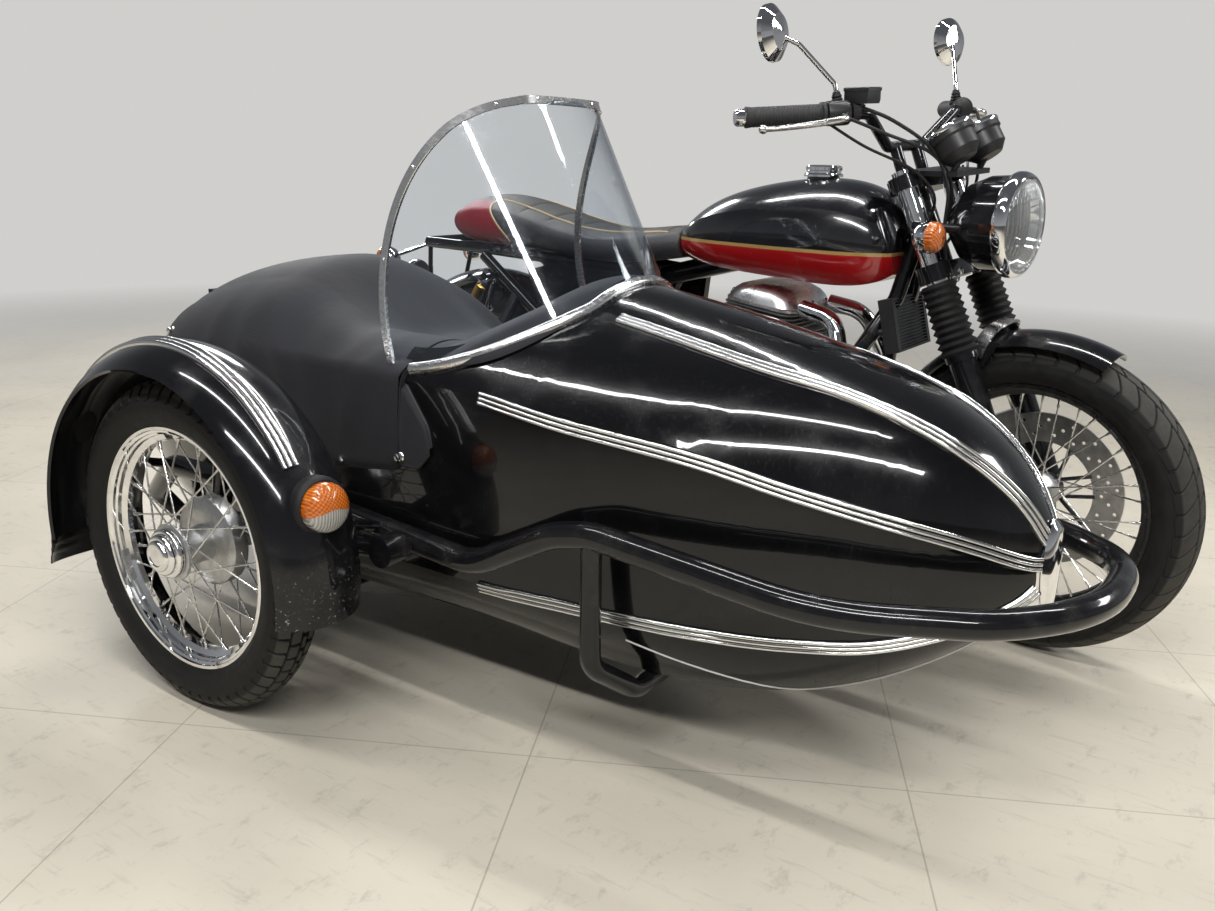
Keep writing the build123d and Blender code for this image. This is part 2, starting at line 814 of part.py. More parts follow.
# Cockpit cover: cloth drawn over the body's own lines, with a flap down the entry side
cover_rear = -232
cover_split = 596
near_flap = [
    (cover_split, 1000),
    (cover_split, 450),
    (580, 438),
    (440, 420),
    (150, 424),
    (-30, 480),
    (-150, 560),
    (cover_rear, 580),
    (cover_rear, 1000),
]
far_flap = [
    (cover_split, 1000),
    (cover_split, 548),
    (-150, 548),
    (cover_rear, 580),
    (cover_rear, 1000),
]
front_corner = [(cover_split, 585), (605, 585), (655, 522), (665, 480), (640, 452), (cover_split, 450)]
cover_region = plate_xz(near_flap, body_centre - 400, body_centre)
cover_region += plate_xz(far_flap, body_centre, body_centre + 400)
cover_region += plate_xz(front_corner, body_centre - 400, body_centre - 200)
inside_screen = screen_cone(screen_thickness + cloth_gap) & block(
    (cover_split, body_centre - 300, 585), (900, body_centre + 300, 900)
)
cover_region += inside_screen
cover_rows = body_table[2:-1]
cover_sheet = body_solid(-cloth_gap - cover_thickness, cover_rows) - body_solid(-cloth_gap, cover_rows)
tonneau_cover = cover_sheet & cover_region
tonneau_cover = tonneau_cover - body_outer

# Sidecar chassis: a hoop of tube round the body, cross tubes and the entry step
rail_y = 330
rail_table = [  # x, y outward from the body's middle, z
    (-190, 0, 160),
    (-190, 215, 160),
    (-170, 288, 245),
    (-40, rail_y, 338),
    (470, rail_y, 340),
    (770, rail_y, 318),
    (930, rail_y, 402),
    (1000, rail_y, 418),
    (1360, rail_y - 6, 386),
    (1560, 216, 386),
    (1665, 105, 395),
    (1665, 0, 395),
]
rail_bends = [50, 50, 60, 150, 120, 150, 150, 350, 300, 220]
near_rail = tube(chassis_tube, [(x, body_centre - y, z) for x, y, z in rail_table], rail_bends)
far_rail = mirror(near_rail, about=Plane((0, body_centre, 0), z_dir=(0, 1, 0)))
hanger_x = 1010
hanger_low = 140
hanger = tube(
    hanger_tube,
    [
        (hanger_x - 8, body_centre - rail_y, 412),
        (hanger_x - 6, body_centre - rail_y, 205),
        (hanger_x + 20, body_centre - 240, hanger_low),
        (hanger_x + 20, body_centre + 240, hanger_low),
        (hanger_x - 6, body_centre + rail_y, 205),
        (hanger_x - 8, body_centre + rail_y, 412),
    ],
    45,
)
body_floor_z = 165
cross_low = body_floor_z - hanger_tube - 10
rear_cross = tube(
    hanger_tube,
    [
        (330, body_centre - rail_y, 335),
        (330, body_centre - rail_y + 20, 190),
        (330, body_centre - 230, cross_low),
        (330, body_centre + 230, cross_low),
        (330, body_centre + rail_y - 20, 190),
        (330, body_centre + rail_y, 335),
    ],
    30,
)
sidecar_chassis = near_rail + far_rail + hanger + rear_cross
for x in (330, hanger_x + 20):
    level = cross_low if x == 330 else hanger_low
    pad = block((x - 30, body_centre - 150, level), (x + 30, body_centre + 150, 200))
    sidecar_chassis += pad - body_outer
sidecar_chassis -= body_outer

# Sidecar wheel, its swinging arm, damper and stub axle
wheel_hub_half = 62
sidecar_wheel = wire_wheel(side_axle, rim_16_radius, sidecar_rim_width, 62, 2 * wheel_hub_half, 40)
sidecar_tyre = tyre(
    side_axle, sidecar_tyre_radius, sidecar_tyre_width, rim_16_radius, sidecar_rim_width
)
arm_y = body_centre - rail_y - chassis_tube - 40
arm_pivot = Vector(640, arm_y, 330)
damper_foot = Vector(210, arm_y, 300)
damper_head = Vector(250, arm_y, 520)
wheel_arm = rod(18, (side_axle.X, arm_y, side_axle.Z), arm_pivot)
wheel_arm += rod(14, damper_foot, (side_axle.X, arm_y, side_axle.Z))
wheel_arm += Pos(side_axle.X, arm_y, side_axle.Z) * Rot(90, 0, 0) * Cylinder(30, 36)
wheel_arm += Pos(arm_pivot) * Rot(90, 0, 0) * Cylinder(26, 44)
stub_end = side_axle.Y - wheel_hub_half - 12
wheel_arm += rod(axle_radius, (side_axle.X, arm_y, side_axle.Z), (side_axle.X, stub_end, side_axle.Z))
cap_start = side_axle.Y - wheel_hub_half - 2
wheel_arm += rod(22, (side_axle.X, cap_start, side_axle.Z), (side_axle.X, stub_end, side_axle.Z))
wheel_arm += rod(12, arm_pivot, (arm_pivot.X, body_centre - rail_y - 4, 330))
damper_run = damper_head - damper_foot
damper = rod(11, damper_foot, damper_head)
damper += rod(26, damper_foot + damper_run * 0.22, damper_foot + damper_run * 0.86)
post_y = body_centre - rail_y - 14
post = rod(chassis_tube - 4, (250, post_y, 338), (250, post_y, 560))
post += rod(10, (250, post_y, 520), (250, arm_y - 16, 520))
wheel_arm = wheel_arm + damper

fender_lead_angle = 98
fender_sweep = 195
side_fender_radius = 358
side_fender_half = 86
side_mudguard = mudguard_arc(
    side_axle, side_fender_radius, side_fender_half, 40, 4, fender_lead_angle, fender_sweep
)
bracket = rod(9, (250, post_y, 552), (262, side_axle.Y + side_fender_half - 4, 606))
lip_y = side_axle.Y + side_fender_half - 4
bracket += rod(9, (560, body_centre - rail_y, 336), (590, lip_y, 372))
bracket += rod(9, (-30, body_centre - rail_y + 10, 338), (-8, lip_y, 372))
wheel_arm -= sidecar_chassis
sidecar_chassis = sidecar_chassis + ((post + bracket) - side_mudguard - wheel_arm)

lamp_place = Vector(612, side_axle.Y, 430)
side_lamp = rod(44, lamp_place - (24, 0, 8), lamp_place + (10, 0, 4))
side_lamp += rod(38, lamp_place, lamp_place + (26, 0, 9))
rear_lamp_place = Vector(-42, side_axle.Y, 470)
side_lamp += rod(36, rear_lamp_place + (22, 0, -8), rear_lamp_place - (24, 0, -8))
sidecar_lamps = side_lamp - side_mudguard
fender_shadow = mudguard_arc(
    side_axle, side_fender_radius - 4, side_fender_half - 4, 40, 60, fender_lead_angle, fender_sweep
)
sidecar_lamps -= fender_shadow

# Struts that couple the sidecar to the motorcycle
far_y = body_centre + rail_y
strut_table = [  # radius, start on the sidecar, end on the motorcycle
    (16, (1020, far_y, 418), (960, -104, 350)),
    (16, (200, far_y, 338), (445, -122, 262)),
    (14, (1000, far_y, 418), (1066, -84, 618)),
    (14, (120, far_y, 338), (152, -110, 622)),
]
struts = [rod(radius, start, end) for radius, start, end in strut_table]
coupling_struts = struts[0].fuse(*struts[1:])

# Swinging arm, rear spindle, shock absorbers and brake caliper
arm_half = 118
swing_arm = both_sides(
    plate_xz(
        [(-48, 300), (-48, 340), (20, 346), (430, 378), (468, 352), (430, 326), (20, 294)],
        arm_half - 11,
        arm_half + 11,
    )
)
arm_side = Vector(0, arm_half, 0)
spindle_side = Vector(0, arm_half + 14, 0)
swing_arm += rod(15, swing_pivot - arm_side, swing_pivot + arm_side)
swing_arm += rod(axle_radius, rear_axle - spindle_side, rear_axle + spindle_side)
swing_arm += rod(14, (350, -arm_half, 350), (350, arm_half, 350))
shock_foot = Vector(-6, 150, 352)
swing_arm += both_sides(rod(9, (shock_foot.X, arm_half, shock_foot.Z), (shock_foot.X, 172, shock_foot.Z)))
shock_run = shock_top - shock_foot
shock_length = shock_run.length
coil_count = 9
coil_profile = [(0, 14), (13, 14), (13, 40), (30, 44)]
coil_pitch = (shock_length - 130) / coil_count
for i in range(coil_count):
    coil_profile.append((31, 48 + i * coil_pitch))
    coil_profile.append((22, 48 + (i + 0.5) * coil_pitch))
coil_profile += [
    (31, shock_length - 78),
    (24, shock_length - 70),
    (24, shock_length - 14),
    (0, shock_length - 14),
]
shock_body = Plane(origin=shock_foot, x_dir=(0, 1, 0), z_dir=shock_run).location * fork_ring(coil_profile)
eye_side = Vector(0, 12, 0)
shock_eyes = rod(15, shock_foot - eye_side, shock_foot + eye_side)
shock_eyes += rod(15, shock_top - eye_side, shock_top + eye_side)
rear_shocks = both_sides(shock_body + shock_eyes)

# Oil cooler, footrests, tail lamp and side stand
cooler_tilt = -14
oil_cooler = Location((1106, 0, 640), (0, cooler_tilt, 0)) * Box(30, 190, 110)
oil_cooler += both_sides(rod(8, (1062, 80, 625), (1104, 80, 625)))
peg_x, peg_z = 395, 300
footrests = both_sides(rod(8, (peg_x, 131, 330), (peg_x, 190, peg_z)))
footrests += both_sides(rod(13, (peg_x, 188, peg_z), (peg_x, 275, peg_z)))
footrests += both_sides(plate_xz([(360, 320), (430, 320), (430, 372), (360, 372)], 132, 138))
footrests += tube(7, [(peg_x + 20, -140, 300), (500, -200, 280), (590, -215, 285)], 30)
footrests += tube(6, [(peg_x + 20, 140, 320), (480, 196, 330), (575, 205, 345)], 30)
tail_lamp = rod(36, (-282, 0, 636), (-326, 0, 630)) + block((-290, -46, 556), (-282, 46, 650))
tail_lamp += block((-286, -30, 600), (-236, 30, 606)) + block((-246, -25, 560), (-238, 25, 604))
plate_spacing = 64
tail_lamp -= both_sides(rod(3.2, (-300, plate_spacing / 2, 570), (-270, plate_spacing / 2, 570)))
rear_blinker = Plane(origin=(-240, 168, 690), x_dir=(0, 1, 0), z_dir=(-1, 0, 0))
tail_lamp += both_sides(rod(6, (-174, 80, 728), (-240, 160, 690)))
tail_lamp += both_sides(rear_blinker.location * fork_ring(indicator_profile))

# Side stand: it folds back along the frame and swings down and outward on a leaning bolt
stand_pivot = Vector(520, 142, 172)
stand_axis = Vector(0.07, 0.75, 0.65).normalized()
stand_folded = Vector(-1, 0.1, -0.07).normalized()
stand_reach = 214
eye_radius, eye_half = 16, 9.5
bolt_radius = 6


def on_bolt(radius, low, high):
    """A round piece along the stand's bolt, from low to high along it."""
    return rod(radius, stand_pivot + stand_axis * low, stand_pivot + stand_axis * high)


stand_foot = stand_pivot + stand_folded * stand_reach
side_stand = on_bolt(eye_radius, -eye_half, eye_half) + rod(9, stand_pivot + stand_folded * 10, stand_foot)
foot_plane = Plane(origin=stand_foot, x_dir=stand_folded, z_dir=stand_folded.cross(stand_axis))
side_stand += foot_plane.location * Box(40, 24, 8)
side_stand -= on_bolt(bolt_radius + 0.1, -40, 40)
stand_lug = on_bolt(eye_radius, eye_half + seat_gap, eye_half + 12)
stand_lug += rod(6, stand_pivot + stand_axis * 15, (525, 122, 204))
stand_lug -= on_bolt(eye_radius + 1.5, -eye_half - 20, eye_half + seat_gap)
stand_lug += on_bolt(bolt_radius, -eye_half - 4, eye_half + 4)
stand_lug += on_bolt(11, -eye_half - 6, -eye_half - seat_gap)

# Nose cap
nose_reach = 1588
nose_box = block((1548, body_centre - 80, 300), (nose_reach, body_centre + 80, 520))
nose_blank = body_solid(-5, body_table[:2]) & nose_box
nose_cap = nose_blank - body_outer

# Everything cut back to its neighbours, so that pieces meet face to face
cradles = cradle_left + cradle_right + cross_tube
tank = tank - tunnel - frame - cradles
tank += fuel_cap
for lock in (-steering_lock, steering_lock):
    tank -= lock_path.rotate(steer_axis, lock)
seat = seat - tank - frame - cradles
frame += both_sides(fender_stay)
rear_fender = rear_fender - frame - seat
swing_arm -= chain_way
engine_case = case - chain_way - cradles - swing_arm
barrel_top -= engine_case + frame + cradles
exhausts = both_sides(header + silencer) - cradles - engine_case - barrel_top
side_panels = both_sides(side_panel) - frame - cradles - seat - both_sides(shock_body)
oil_cooler = oil_cooler - frame - cradles
footrests = footrests - cradles - exhausts - swing_arm
tail_lamp = tail_lamp - fender_fill - frame
frame -= swing_arm + rear_shocks
swing_arm -= rear_shocks
cradle_left = (cradle_left + cross_tube + stand_lug) - cradle_right - swing_arm
cradle_right -= swing_arm
coupling_struts = coupling_struts - frame - cradles - sidecar_chassis - engine_case - exhausts
tonneau_cover = tonneau_cover - body_shell - wind_screen

steered = {
    "fork_yokes": fork_yokes - headlamp_shell,
    "fork_tubes": fork_tubes - fork_sliders,
    "fork_gaiters": fork_gaiters,
    "fork_sliders": fork_sliders,
    "headlamp_shell": headlamp_shell + (lamp_ears - fork_tubes),
    "headlamp_lens": headlamp_lens,
    "gauges": gauges - fork_yokes,
    "handlebar": handlebar + (risers - fork_yokes),
    "bar_grips": bar_grips,
    "bar_controls": controls - bar_grips,
    "mirrors": mirrors - bar_grips,
    "front_indicators": front_indicators - lamp_ears - fork_tubes,
    "front_fender": front_fender - fork_sliders - fork_gaiters - fork_tubes,
    "brake_caliper": caliper - fork_sliders - fork_tubes - front_fender,
}
for name in ("front_wheel", "front_tyre"):
    steered[name] = parts.pop(name)
for name, shape in steered.items():
    parts[name] = shape.rotate(steer_axis, parked_steer)

parts |= {
    "frame": frame,
    "cradle_left": cradle_left,
    "cradle_right": cradle_right,
    "engine_case": engine_case,
    "engine_top": barrel_top,
    "exhausts": exhausts,
    "fuel_tank": tank,
    "seat": seat,
    "side_panels": side_panels,
    "rear_fender": rear_fender,
    "tail_lamp": tail_lamp,
    "swing_arm": swing_arm,
    "rear_shocks": rear_shocks,
    "oil_cooler": oil_cooler,
    "footrests": footrests,
    "side_stand": side_stand,
    "sidecar_body": body_shell,
    "boot_lid": boot_lid,
    "tonneau_cover": tonneau_cover,
    "wind_screen": wind_screen,
    "nose_cap": nose_cap,
    "sidecar_chassis": sidecar_chassis,
    "sidecar_wheel": sidecar_wheel,
    "sidecar_tyre": sidecar_tyre,
    "wheel_arm": wheel_arm,
    "sidecar_mudguard": side_mudguard,
    "sidecar_lamps": sidecar_lamps,
    "coupling_struts": coupling_struts,
}

# The origin goes to the floor under the middle of the whole outfit
boxes = [shape.bounding_box() for shape in parts.values()]
middle_x = (min(box.min.X for box in boxes) + max(box.max.X for box in boxes)) / 2
middle_y = (min(box.min.Y for box in boxes) + max(box.max.Y for box in boxes)) / 2
to_origin = Pos(-middle_x, -middle_y, 0)
for name, shape in parts.items():
    export_step(to_origin * shape, f"parts/{name}.step")
shift = Vector(-middle_x, -middle_y, 0)
spun = Edge.make_line(front_axle, front_axle + (0, 100, 0)).rotate(steer_axis, parked_steer)
joints = [  # name, a point of the axis, its direction
    ("steering", steer_foot, steer_direction),
    ("front_wheel_spin", spun @ 0, spun % 0),
    ("rear_wheel_spin", rear_axle, Vector(0, 1, 0)),
    ("sidecar_wheel_spin", side_axle, Vector(0, 1, 0)),
    ("side_stand_swing", stand_pivot, -stand_axis),
    ("boot_lid_hinge", Vector(hinge_x, body_centre, hinge_z), Vector(0, 1, 0)),
]
for name, place, axis in joints:
    place = (place + shift) * 0.001
    print("joint", name, *[round(v, 6) for v in (*place, *axis)])
print("origin", round(middle_x, 3), round(middle_y, 3))
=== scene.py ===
import bmesh
import bpy
import json
from math import acos, atan2, ceil, cos, exp, hypot, pi, radians, sin, sqrt
from mathutils import Matrix, Vector
from mathutils.bvhtree import BVHTree


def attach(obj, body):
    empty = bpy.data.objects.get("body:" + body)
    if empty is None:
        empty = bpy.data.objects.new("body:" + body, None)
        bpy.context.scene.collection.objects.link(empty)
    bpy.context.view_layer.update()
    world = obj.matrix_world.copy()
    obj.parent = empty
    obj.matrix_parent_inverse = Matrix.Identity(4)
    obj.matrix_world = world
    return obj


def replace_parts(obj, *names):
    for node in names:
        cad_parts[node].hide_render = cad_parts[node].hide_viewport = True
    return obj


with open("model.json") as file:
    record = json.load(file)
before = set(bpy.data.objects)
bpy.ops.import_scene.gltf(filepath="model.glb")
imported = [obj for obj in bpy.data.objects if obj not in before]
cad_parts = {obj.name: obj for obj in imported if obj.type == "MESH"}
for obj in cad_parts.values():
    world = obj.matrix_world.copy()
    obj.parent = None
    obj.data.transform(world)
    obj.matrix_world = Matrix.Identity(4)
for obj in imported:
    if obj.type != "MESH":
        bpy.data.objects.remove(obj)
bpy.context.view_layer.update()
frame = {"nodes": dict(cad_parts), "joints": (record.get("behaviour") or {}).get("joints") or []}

# Places are written in metres from the floor under the motorcycle's rear axle, X forward, Y to the
# rider's left and Z up, as a workshop measures such an outfit. The frame starts elsewhere, so at()
# shifts each place by where the rear wheel's joint stands.
joints = {joint["name"]: joint for joint in frame["joints"]}
rear_axle = Vector(joints["rear_wheel_spin"]["pos_m"])
rear_foot = Vector((rear_axle.x, rear_axle.y, 0))


def at(x, y, z):
    return rear_foot + Vector((x, y, z))


ahead, leftward, upward = Vector((1, 0, 0)), Vector((0, 1, 0)), Vector((0, 0, 1))

# Camera: the height of a standing person's chest, ahead of the sidecar on its own side, with a short
# lens held a little off level.
photo_width, focal_pixels, sensor_width = 1215, 1070, 36
look = Vector((-0.54558, 0.79442, -0.26690))
right = Vector((0.82056, 0.57111, 0.02254))
camera_data = bpy.data.cameras.new("camera")
camera_data.sensor_width = sensor_width
camera_data.lens = sensor_width * focal_pixels / photo_width
camera = bpy.data.objects.new("camera", camera_data)
bpy.context.scene.collection.objects.link(camera)
camera_place = at(1.8623, -2.1856, 0.953)
camera_turn = Matrix((right, right.cross(look), -look)).transposed().to_4x4()
camera.matrix_world = Matrix.Translation(camera_place) @ camera_turn
bpy.context.scene.camera = camera
bpy.context.scene.view_settings.view_transform = "Standard"


class Tone:
    """A socket of a material's nodes. Sums on it add Math nodes, and node() adds any other node."""

    def __init__(self, tree, socket):
        self.tree = tree
        self.socket = socket

    def node(self, kind, settings, inputs, output=0):
        made = self.tree.nodes.new(kind)
        for key, value in settings.items():
            setattr(made, key, value)
        for key, value in inputs.items():
            if isinstance(value, Tone):
                self.tree.links.new(value.socket, made.inputs[key])
            else:
                made.inputs[key].default_value = value
        return Tone(self.tree, made.outputs[output])

    def sum(self, operation, first, second=0.0):
        return self.node("ShaderNodeMath", {"operation": operation}, {0: first, 1: second})

    def __add__(self, other):
        return self.sum("ADD", self, other)

    def __radd__(self, other):
        return self.sum("ADD", other, self)

    def __sub__(self, other):
        return self.sum("SUBTRACT", self, other)

    def __rsub__(self, other):
        return self.sum("SUBTRACT", other, self)

    def __mul__(self, other):
        return self.sum("MULTIPLY", self, other)

    def __truediv__(self, other):
        return self.sum("DIVIDE", self, other)

    def __pow__(self, other):
        return self.sum("POWER", self, other)

    def __lt__(self, other):
        return self.sum("LESS_THAN", self, other)

    def __abs__(self):
        return self.sum("ABSOLUTE", self)

    def sine(self):
        return self.sum("SINE", self)

    def rise(self, low, high):
        """0 below low, 1 above high and a straight slope between."""
        return self.node("ShaderNodeMapRange", {}, {0: self, 1: low, 2: high, 3: 0.0, 4: 1.0})

    def stretched(self, x, y, z):
        return self.node("ShaderNodeVectorMath", {"operation": "MULTIPLY"}, {0: self, 1: (x, y, z)})

    def noise(self, scale, detail=3.0, roughness=0.5):
        settings = {"Vector": self, "Scale": scale, "Detail": detail, "Roughness": roughness}
        return self.node("ShaderNodeTexNoise", {}, settings)

    def axes(self):
        return [self.node("ShaderNodeSeparateXYZ", {}, {0: self}, i) for i in range(3)]

    def tint(self, low, high):
        """The colour between low at 0 and high at 1."""
        low = low if isinstance(low, Tone) else (*low, 1)
        high = high if isinstance(high, Tone) else (*high, 1)
        return self.node("ShaderNodeMix", {"data_type": "RGBA"}, {0: self, 6: low, 7: high}, 2)

    def link(self, node, name):
        self.tree.links.new(self.socket, self.tree.nodes[node].inputs[name])

    def into(self, name):
        self.link("Principled BSDF", name)

    def raised(self, height):
        """Bump of that height in metres where this mask is 1."""
        self.node("ShaderNodeBump", {}, {"Distance": height, "Height": self}).into("Normal")

    def wears(self, roughness, change, clean=None, worn=None):
        """Where this mask is 1 the finish is that much rougher and takes the worn colour."""
        (roughness + self * change).into("Roughness")
        if clean:
            self.tint(clean, worn).into("Base Color")

    def own_shader(self):
        return Tone(self.tree, self.tree.nodes["Principled BSDF"].outputs[0])

    def shows(self, first, second):
        """The material shows the first shader where this share is 0, and the second where it is 1."""
        mixed = self.node("ShaderNodeMixShader", {}, {0: self, 1: first, 2: second})
        mixed.link("Material Output", "Surface")


def finish(name, colour, roughness, metallic=0.0, constants={}):
    """A material of those values, and the place on the piece as a Tone to vary them by."""
    material = bpy.data.materials.new(name)
    material.use_nodes = True
    inputs = material.node_tree.nodes["Principled BSDF"].inputs
    inputs["Base Color"].default_value = (*colour, 1)
    inputs["Roughness"].default_value = roughness
    inputs["Metallic"].default_value = metallic
    for key, value in constants.items():
        inputs[key].default_value = value
    place = material.node_tree.nodes.new("ShaderNodeTexCoord").outputs["Object"]
    return material, Tone(material.node_tree, place)


def wet_coat(roughness):
    """Values for black under a clear gloss coat of that roughness, with little shine of its own."""
    return {"Coat Weight": 1.0, "Coat Roughness": roughness, "Coat IOR": 1.38, "Specular IOR Level": 0.12}


def dress(material, *names):
    """Gives a frame part that material in place of its plain one."""
    for name in names:
        for material_slot in frame["nodes"][name].material_slots:
            material_slot.material = material


# Floor: the workshop's pale vinyl in square tiles, scuffed and worn, with a thin dark seam between them.
# Far off it fades into a backdrop of the same tone.
floor_reach, tile, seam_share = 30, 0.61, 0.0022
tile_ahead, tile_aside = 0.89, 0.46
floor_mesh = bpy.data.meshes.new("floor")
corners = [(-floor_reach, -floor_reach, 0), (floor_reach, -floor_reach, 0)]
corners += [(floor_reach, floor_reach, 0), (-floor_reach, floor_reach, 0)]
floor_mesh.from_pydata(corners, [], [(0, 1, 2, 3)])
floor_piece = bpy.data.objects.new("floor", floor_mesh)
bpy.context.scene.collection.objects.link(floor_piece)
floor_finish, spot = finish("pale_floor", (0.66, 0.63, 0.57), 0.55)
(0.42 + spot.noise(1.3, 5) * 0.2).into("Roughness")
worn_floor = spot.noise(2.2, 6).rise(0.35, 0.7)
marks = spot.stretched(1, 0.5, 1).noise(26, 6, 0.75).rise(0.56, 0.68) * 0.5
scuffs = spot.stretched(0.25, 1.6, 1).noise(34, 7, 0.7).rise(0.56, 0.68) * 0.35
x, y = spot.axes()[:2]
across = (x * tile_ahead + y * tile_aside) / tile
down = (y * tile_ahead - x * tile_aside) / tile
seams_across, seams_down = (abs(run - run.sum("ROUND", run)) < seam_share for run in (across, down))
seams = seams_across.sum("MAXIMUM", seams_across, seams_down)
dirt = worn_floor * 0.35 + marks + scuffs + seams * 0.8
dirt.tint((0.63, 0.578, 0.475), (0.38, 0.35, 0.29)).into("Base Color")
far = spot.node("ShaderNodeVectorMath", {"operation": "LENGTH"}, {0: spot}, "Value").rise(2.6, 6.5)
seen = spot.node("ShaderNodeLightPath", {}, {}, "Is Camera Ray")
backdrop_tone = (0.63, 0.625, 0.61, 1)
glow = spot.node("ShaderNodeEmission", {}, {"Color": backdrop_tone, "Strength": 1.0})
(far * seen).shows(spot.own_shader(), glow)
floor_mesh.materials.append(floor_finish)

# Light: a big room with a dim ceiling and a shop's rows of long lamps overhead, which run the length of
# the outfit. They show as thin streaks along the black paint.
world = bpy.data.worlds.new("room")
bpy.context.scene.world = world
world.use_nodes = True
sky = Tone(world.node_tree, world.node_tree.nodes.new("ShaderNodeTexCoord").outputs["Generated"])
ceiling = sky.axes()[2].rise(0.02, 0.55).tint((0.27, 0.277, 0.29), (0.085, 0.09, 0.1))
seen = sky.node("ShaderNodeLightPath", {}, {}, "Is Camera Ray")
clear = sky.node("ShaderNodeLightPath", {}, {}, "Is Transmission Ray")
(seen.sum("MAXIMUM", seen, clear)).tint(ceiling, backdrop_tone[:3]).link("Background", "Color")
lamp_rows = [  # place, aim, width, length, watts
    ((2.4, -3.3, 3.2), (0.6, -0.5, 0.3), 0.16, 3.6, 112),
    ((0.6, -1.9, 3.5), (0.5, -0.6, 0.4), 0.1, 4.2, 72),
    ((0.9, 0.7, 3.4), (0.6, -0.5, 0.4), 0.1, 4.2, 70),
    ((-2.8, 1.6, 2.6), (0.4, -0.2, 0.5), 0.5, 2.4, 70),
    ((3.6, 1.6, 2.2), (0.8, -0.2, 0.5), 0.5, 1.8, 45),
]
for number, (place, aim, width, length, watts) in enumerate(lamp_rows):
    lamp_data = bpy.data.lights.new(f"lamp_row_{number}", "AREA")
    lamp_data.shape = "RECTANGLE"
    lamp_data.size = width
    lamp_data.size_y = length
    lamp_data.energy = watts
    lamp = bpy.data.objects.new(f"lamp_row_{number}", lamp_data)
    bpy.context.scene.collection.objects.link(lamp)
    lamp.location = at(*place)
    back = (at(*place) - at(*aim)).normalized()
    along = (ahead - back * back.x).normalized()
    lamp.rotation_mode = "QUATERNION"
    lamp.rotation_quaternion = Matrix((along.cross(back), along, back)).transposed().to_quaternion()

# Sidecar body: a glass-fibre shell in gloss black gel coat, polished so often that fine swirls and a
# little dust show. Its tail lid is moulded of the same, on two hinge ears.
gel_coat, spot = finish("black_gel_coat", (0.006, 0.006, 0.007), 0.3, 0.0, wet_coat(0.03))
dust = spot.noise(9, 6, 0.62).rise(0.5, 0.8)
swirls = spot.stretched(1, 1, 0.25).noise(260, 2).rise(0.55, 0.75)
(dust * 0.35 + swirls * 0.12).tint((0.0035, 0.0035, 0.004), (0.016, 0.016, 0.018)).into("Base Color")
(0.16 + dust * 0.2 + swirls * 0.1).into("Roughness")
spot.noise(5, 1).raised(0.0007)
dress(gel_coat, "sidecar_body", "boot_lid")

sidecar_middle = -0.64


def skin_of(*names):
    """The faces of frame parts, to measure where their surfaces lie."""
    corners, faces = [], []
    for name in names:
        mesh = frame["nodes"][name].data
        start = len(corners)
        corners += [v.co.copy() for v in mesh.vertices]
        faces += [[start + k for k in face.vertices] for face in mesh.polygons]
    return BVHTree.FromPolygons(corners, faces)


body_skin = skin_of("sidecar_body", "boot_lid")


def curve_through(places, spacing):
    """Points about that far apart on a smooth curve through the given ones."""
    places = [Vector(place) for place in places]
    run = [places[0] * 2 - places[1], *places, places[-1] * 2 - places[-2]]
    path = []
    for a, b, c, d in zip(run, run[1:], run[2:], run[3:]):
        steps = max(2, ceil((c - b).length / spacing))
        for t in (k / steps for k in range(steps)):
            bend = (2 * a - 5 * b + 4 * c - d) * t * t + (3 * b - a - 3 * c + d) * t**3
            path.append((2 * b + (c - a) * t + bend) / 2)
    path.append(places[-1])
    return path


def heading(line, i):
    """From the point before place i of a line to the one after it, which gives its direction there."""
    return line[min(i + 1, len(line) - 1)] - line[max(i - 1, 0)]


def lofted(rings, loop=False):
    """A solid through rings of as many points each: closed at both ends, or joined into a loop."""
    count = len(rings[0])
    points = [point for ring in rings for point in ring]
    faces = []
    for row in range(len(rings) if loop else len(rings) - 1):
        start, after_start = row * count, (row + 1) % len(rings) * count
        for k in range(count):
            after = (k + 1) % count
            faces.append((start + k, start + after, after_start + after, after_start + k))
    if not loop:
        faces += [tuple(range(count)), tuple(range(len(points) - count, len(points)))]
    return points, faces


def swept(path, outward, profile):
    """A solid of a profile of (across, out) points carried along a path whose surface faces outward."""
    rings = []
    for i, place in enumerate(path):
        run = heading(path, i).normalized()
        out = (outward[i] - run * outward[i].dot(run)).normalized()
        across = run.cross(out)
        rings.append([place + across * a + out * o for a, o in profile])
    return lofted(rings)


def joined(*solids):
    """Several solids as one list of points and faces."""
    points, faces = [], []
    for more_points, more_faces in solids:
        start = len(points)
        points += more_points
        faces += [tuple(start + k for k in face) for face in more_faces]
    return points, faces


def piece(name, solid, material, body="root", sharp=40):
    """A mesh piece that rides on a body of the frame and takes a slot's finish."""
    mesh = bpy.data.meshes.new(name)
    mesh.from_pydata([tuple(point) for point in solid[0]], [], solid[1])
    shaper = bmesh.new()
    shaper.from_mesh(mesh)
    bmesh.ops.remove_doubles(shaper, verts=shaper.verts, dist=1e-6)
    bmesh.ops.recalc_face_normals(shaper, faces=shaper.faces)
    shaper.to_mesh(mesh)
    shaper.free()
    mesh.materials.append(material)
    mesh.shade_smooth()
    mesh.set_sharp_from_angle(angle=radians(sharp))
    made = bpy.data.objects.new(name, mesh)
    bpy.context.scene.collection.objects.link(made)
    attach(made, body)
    return made


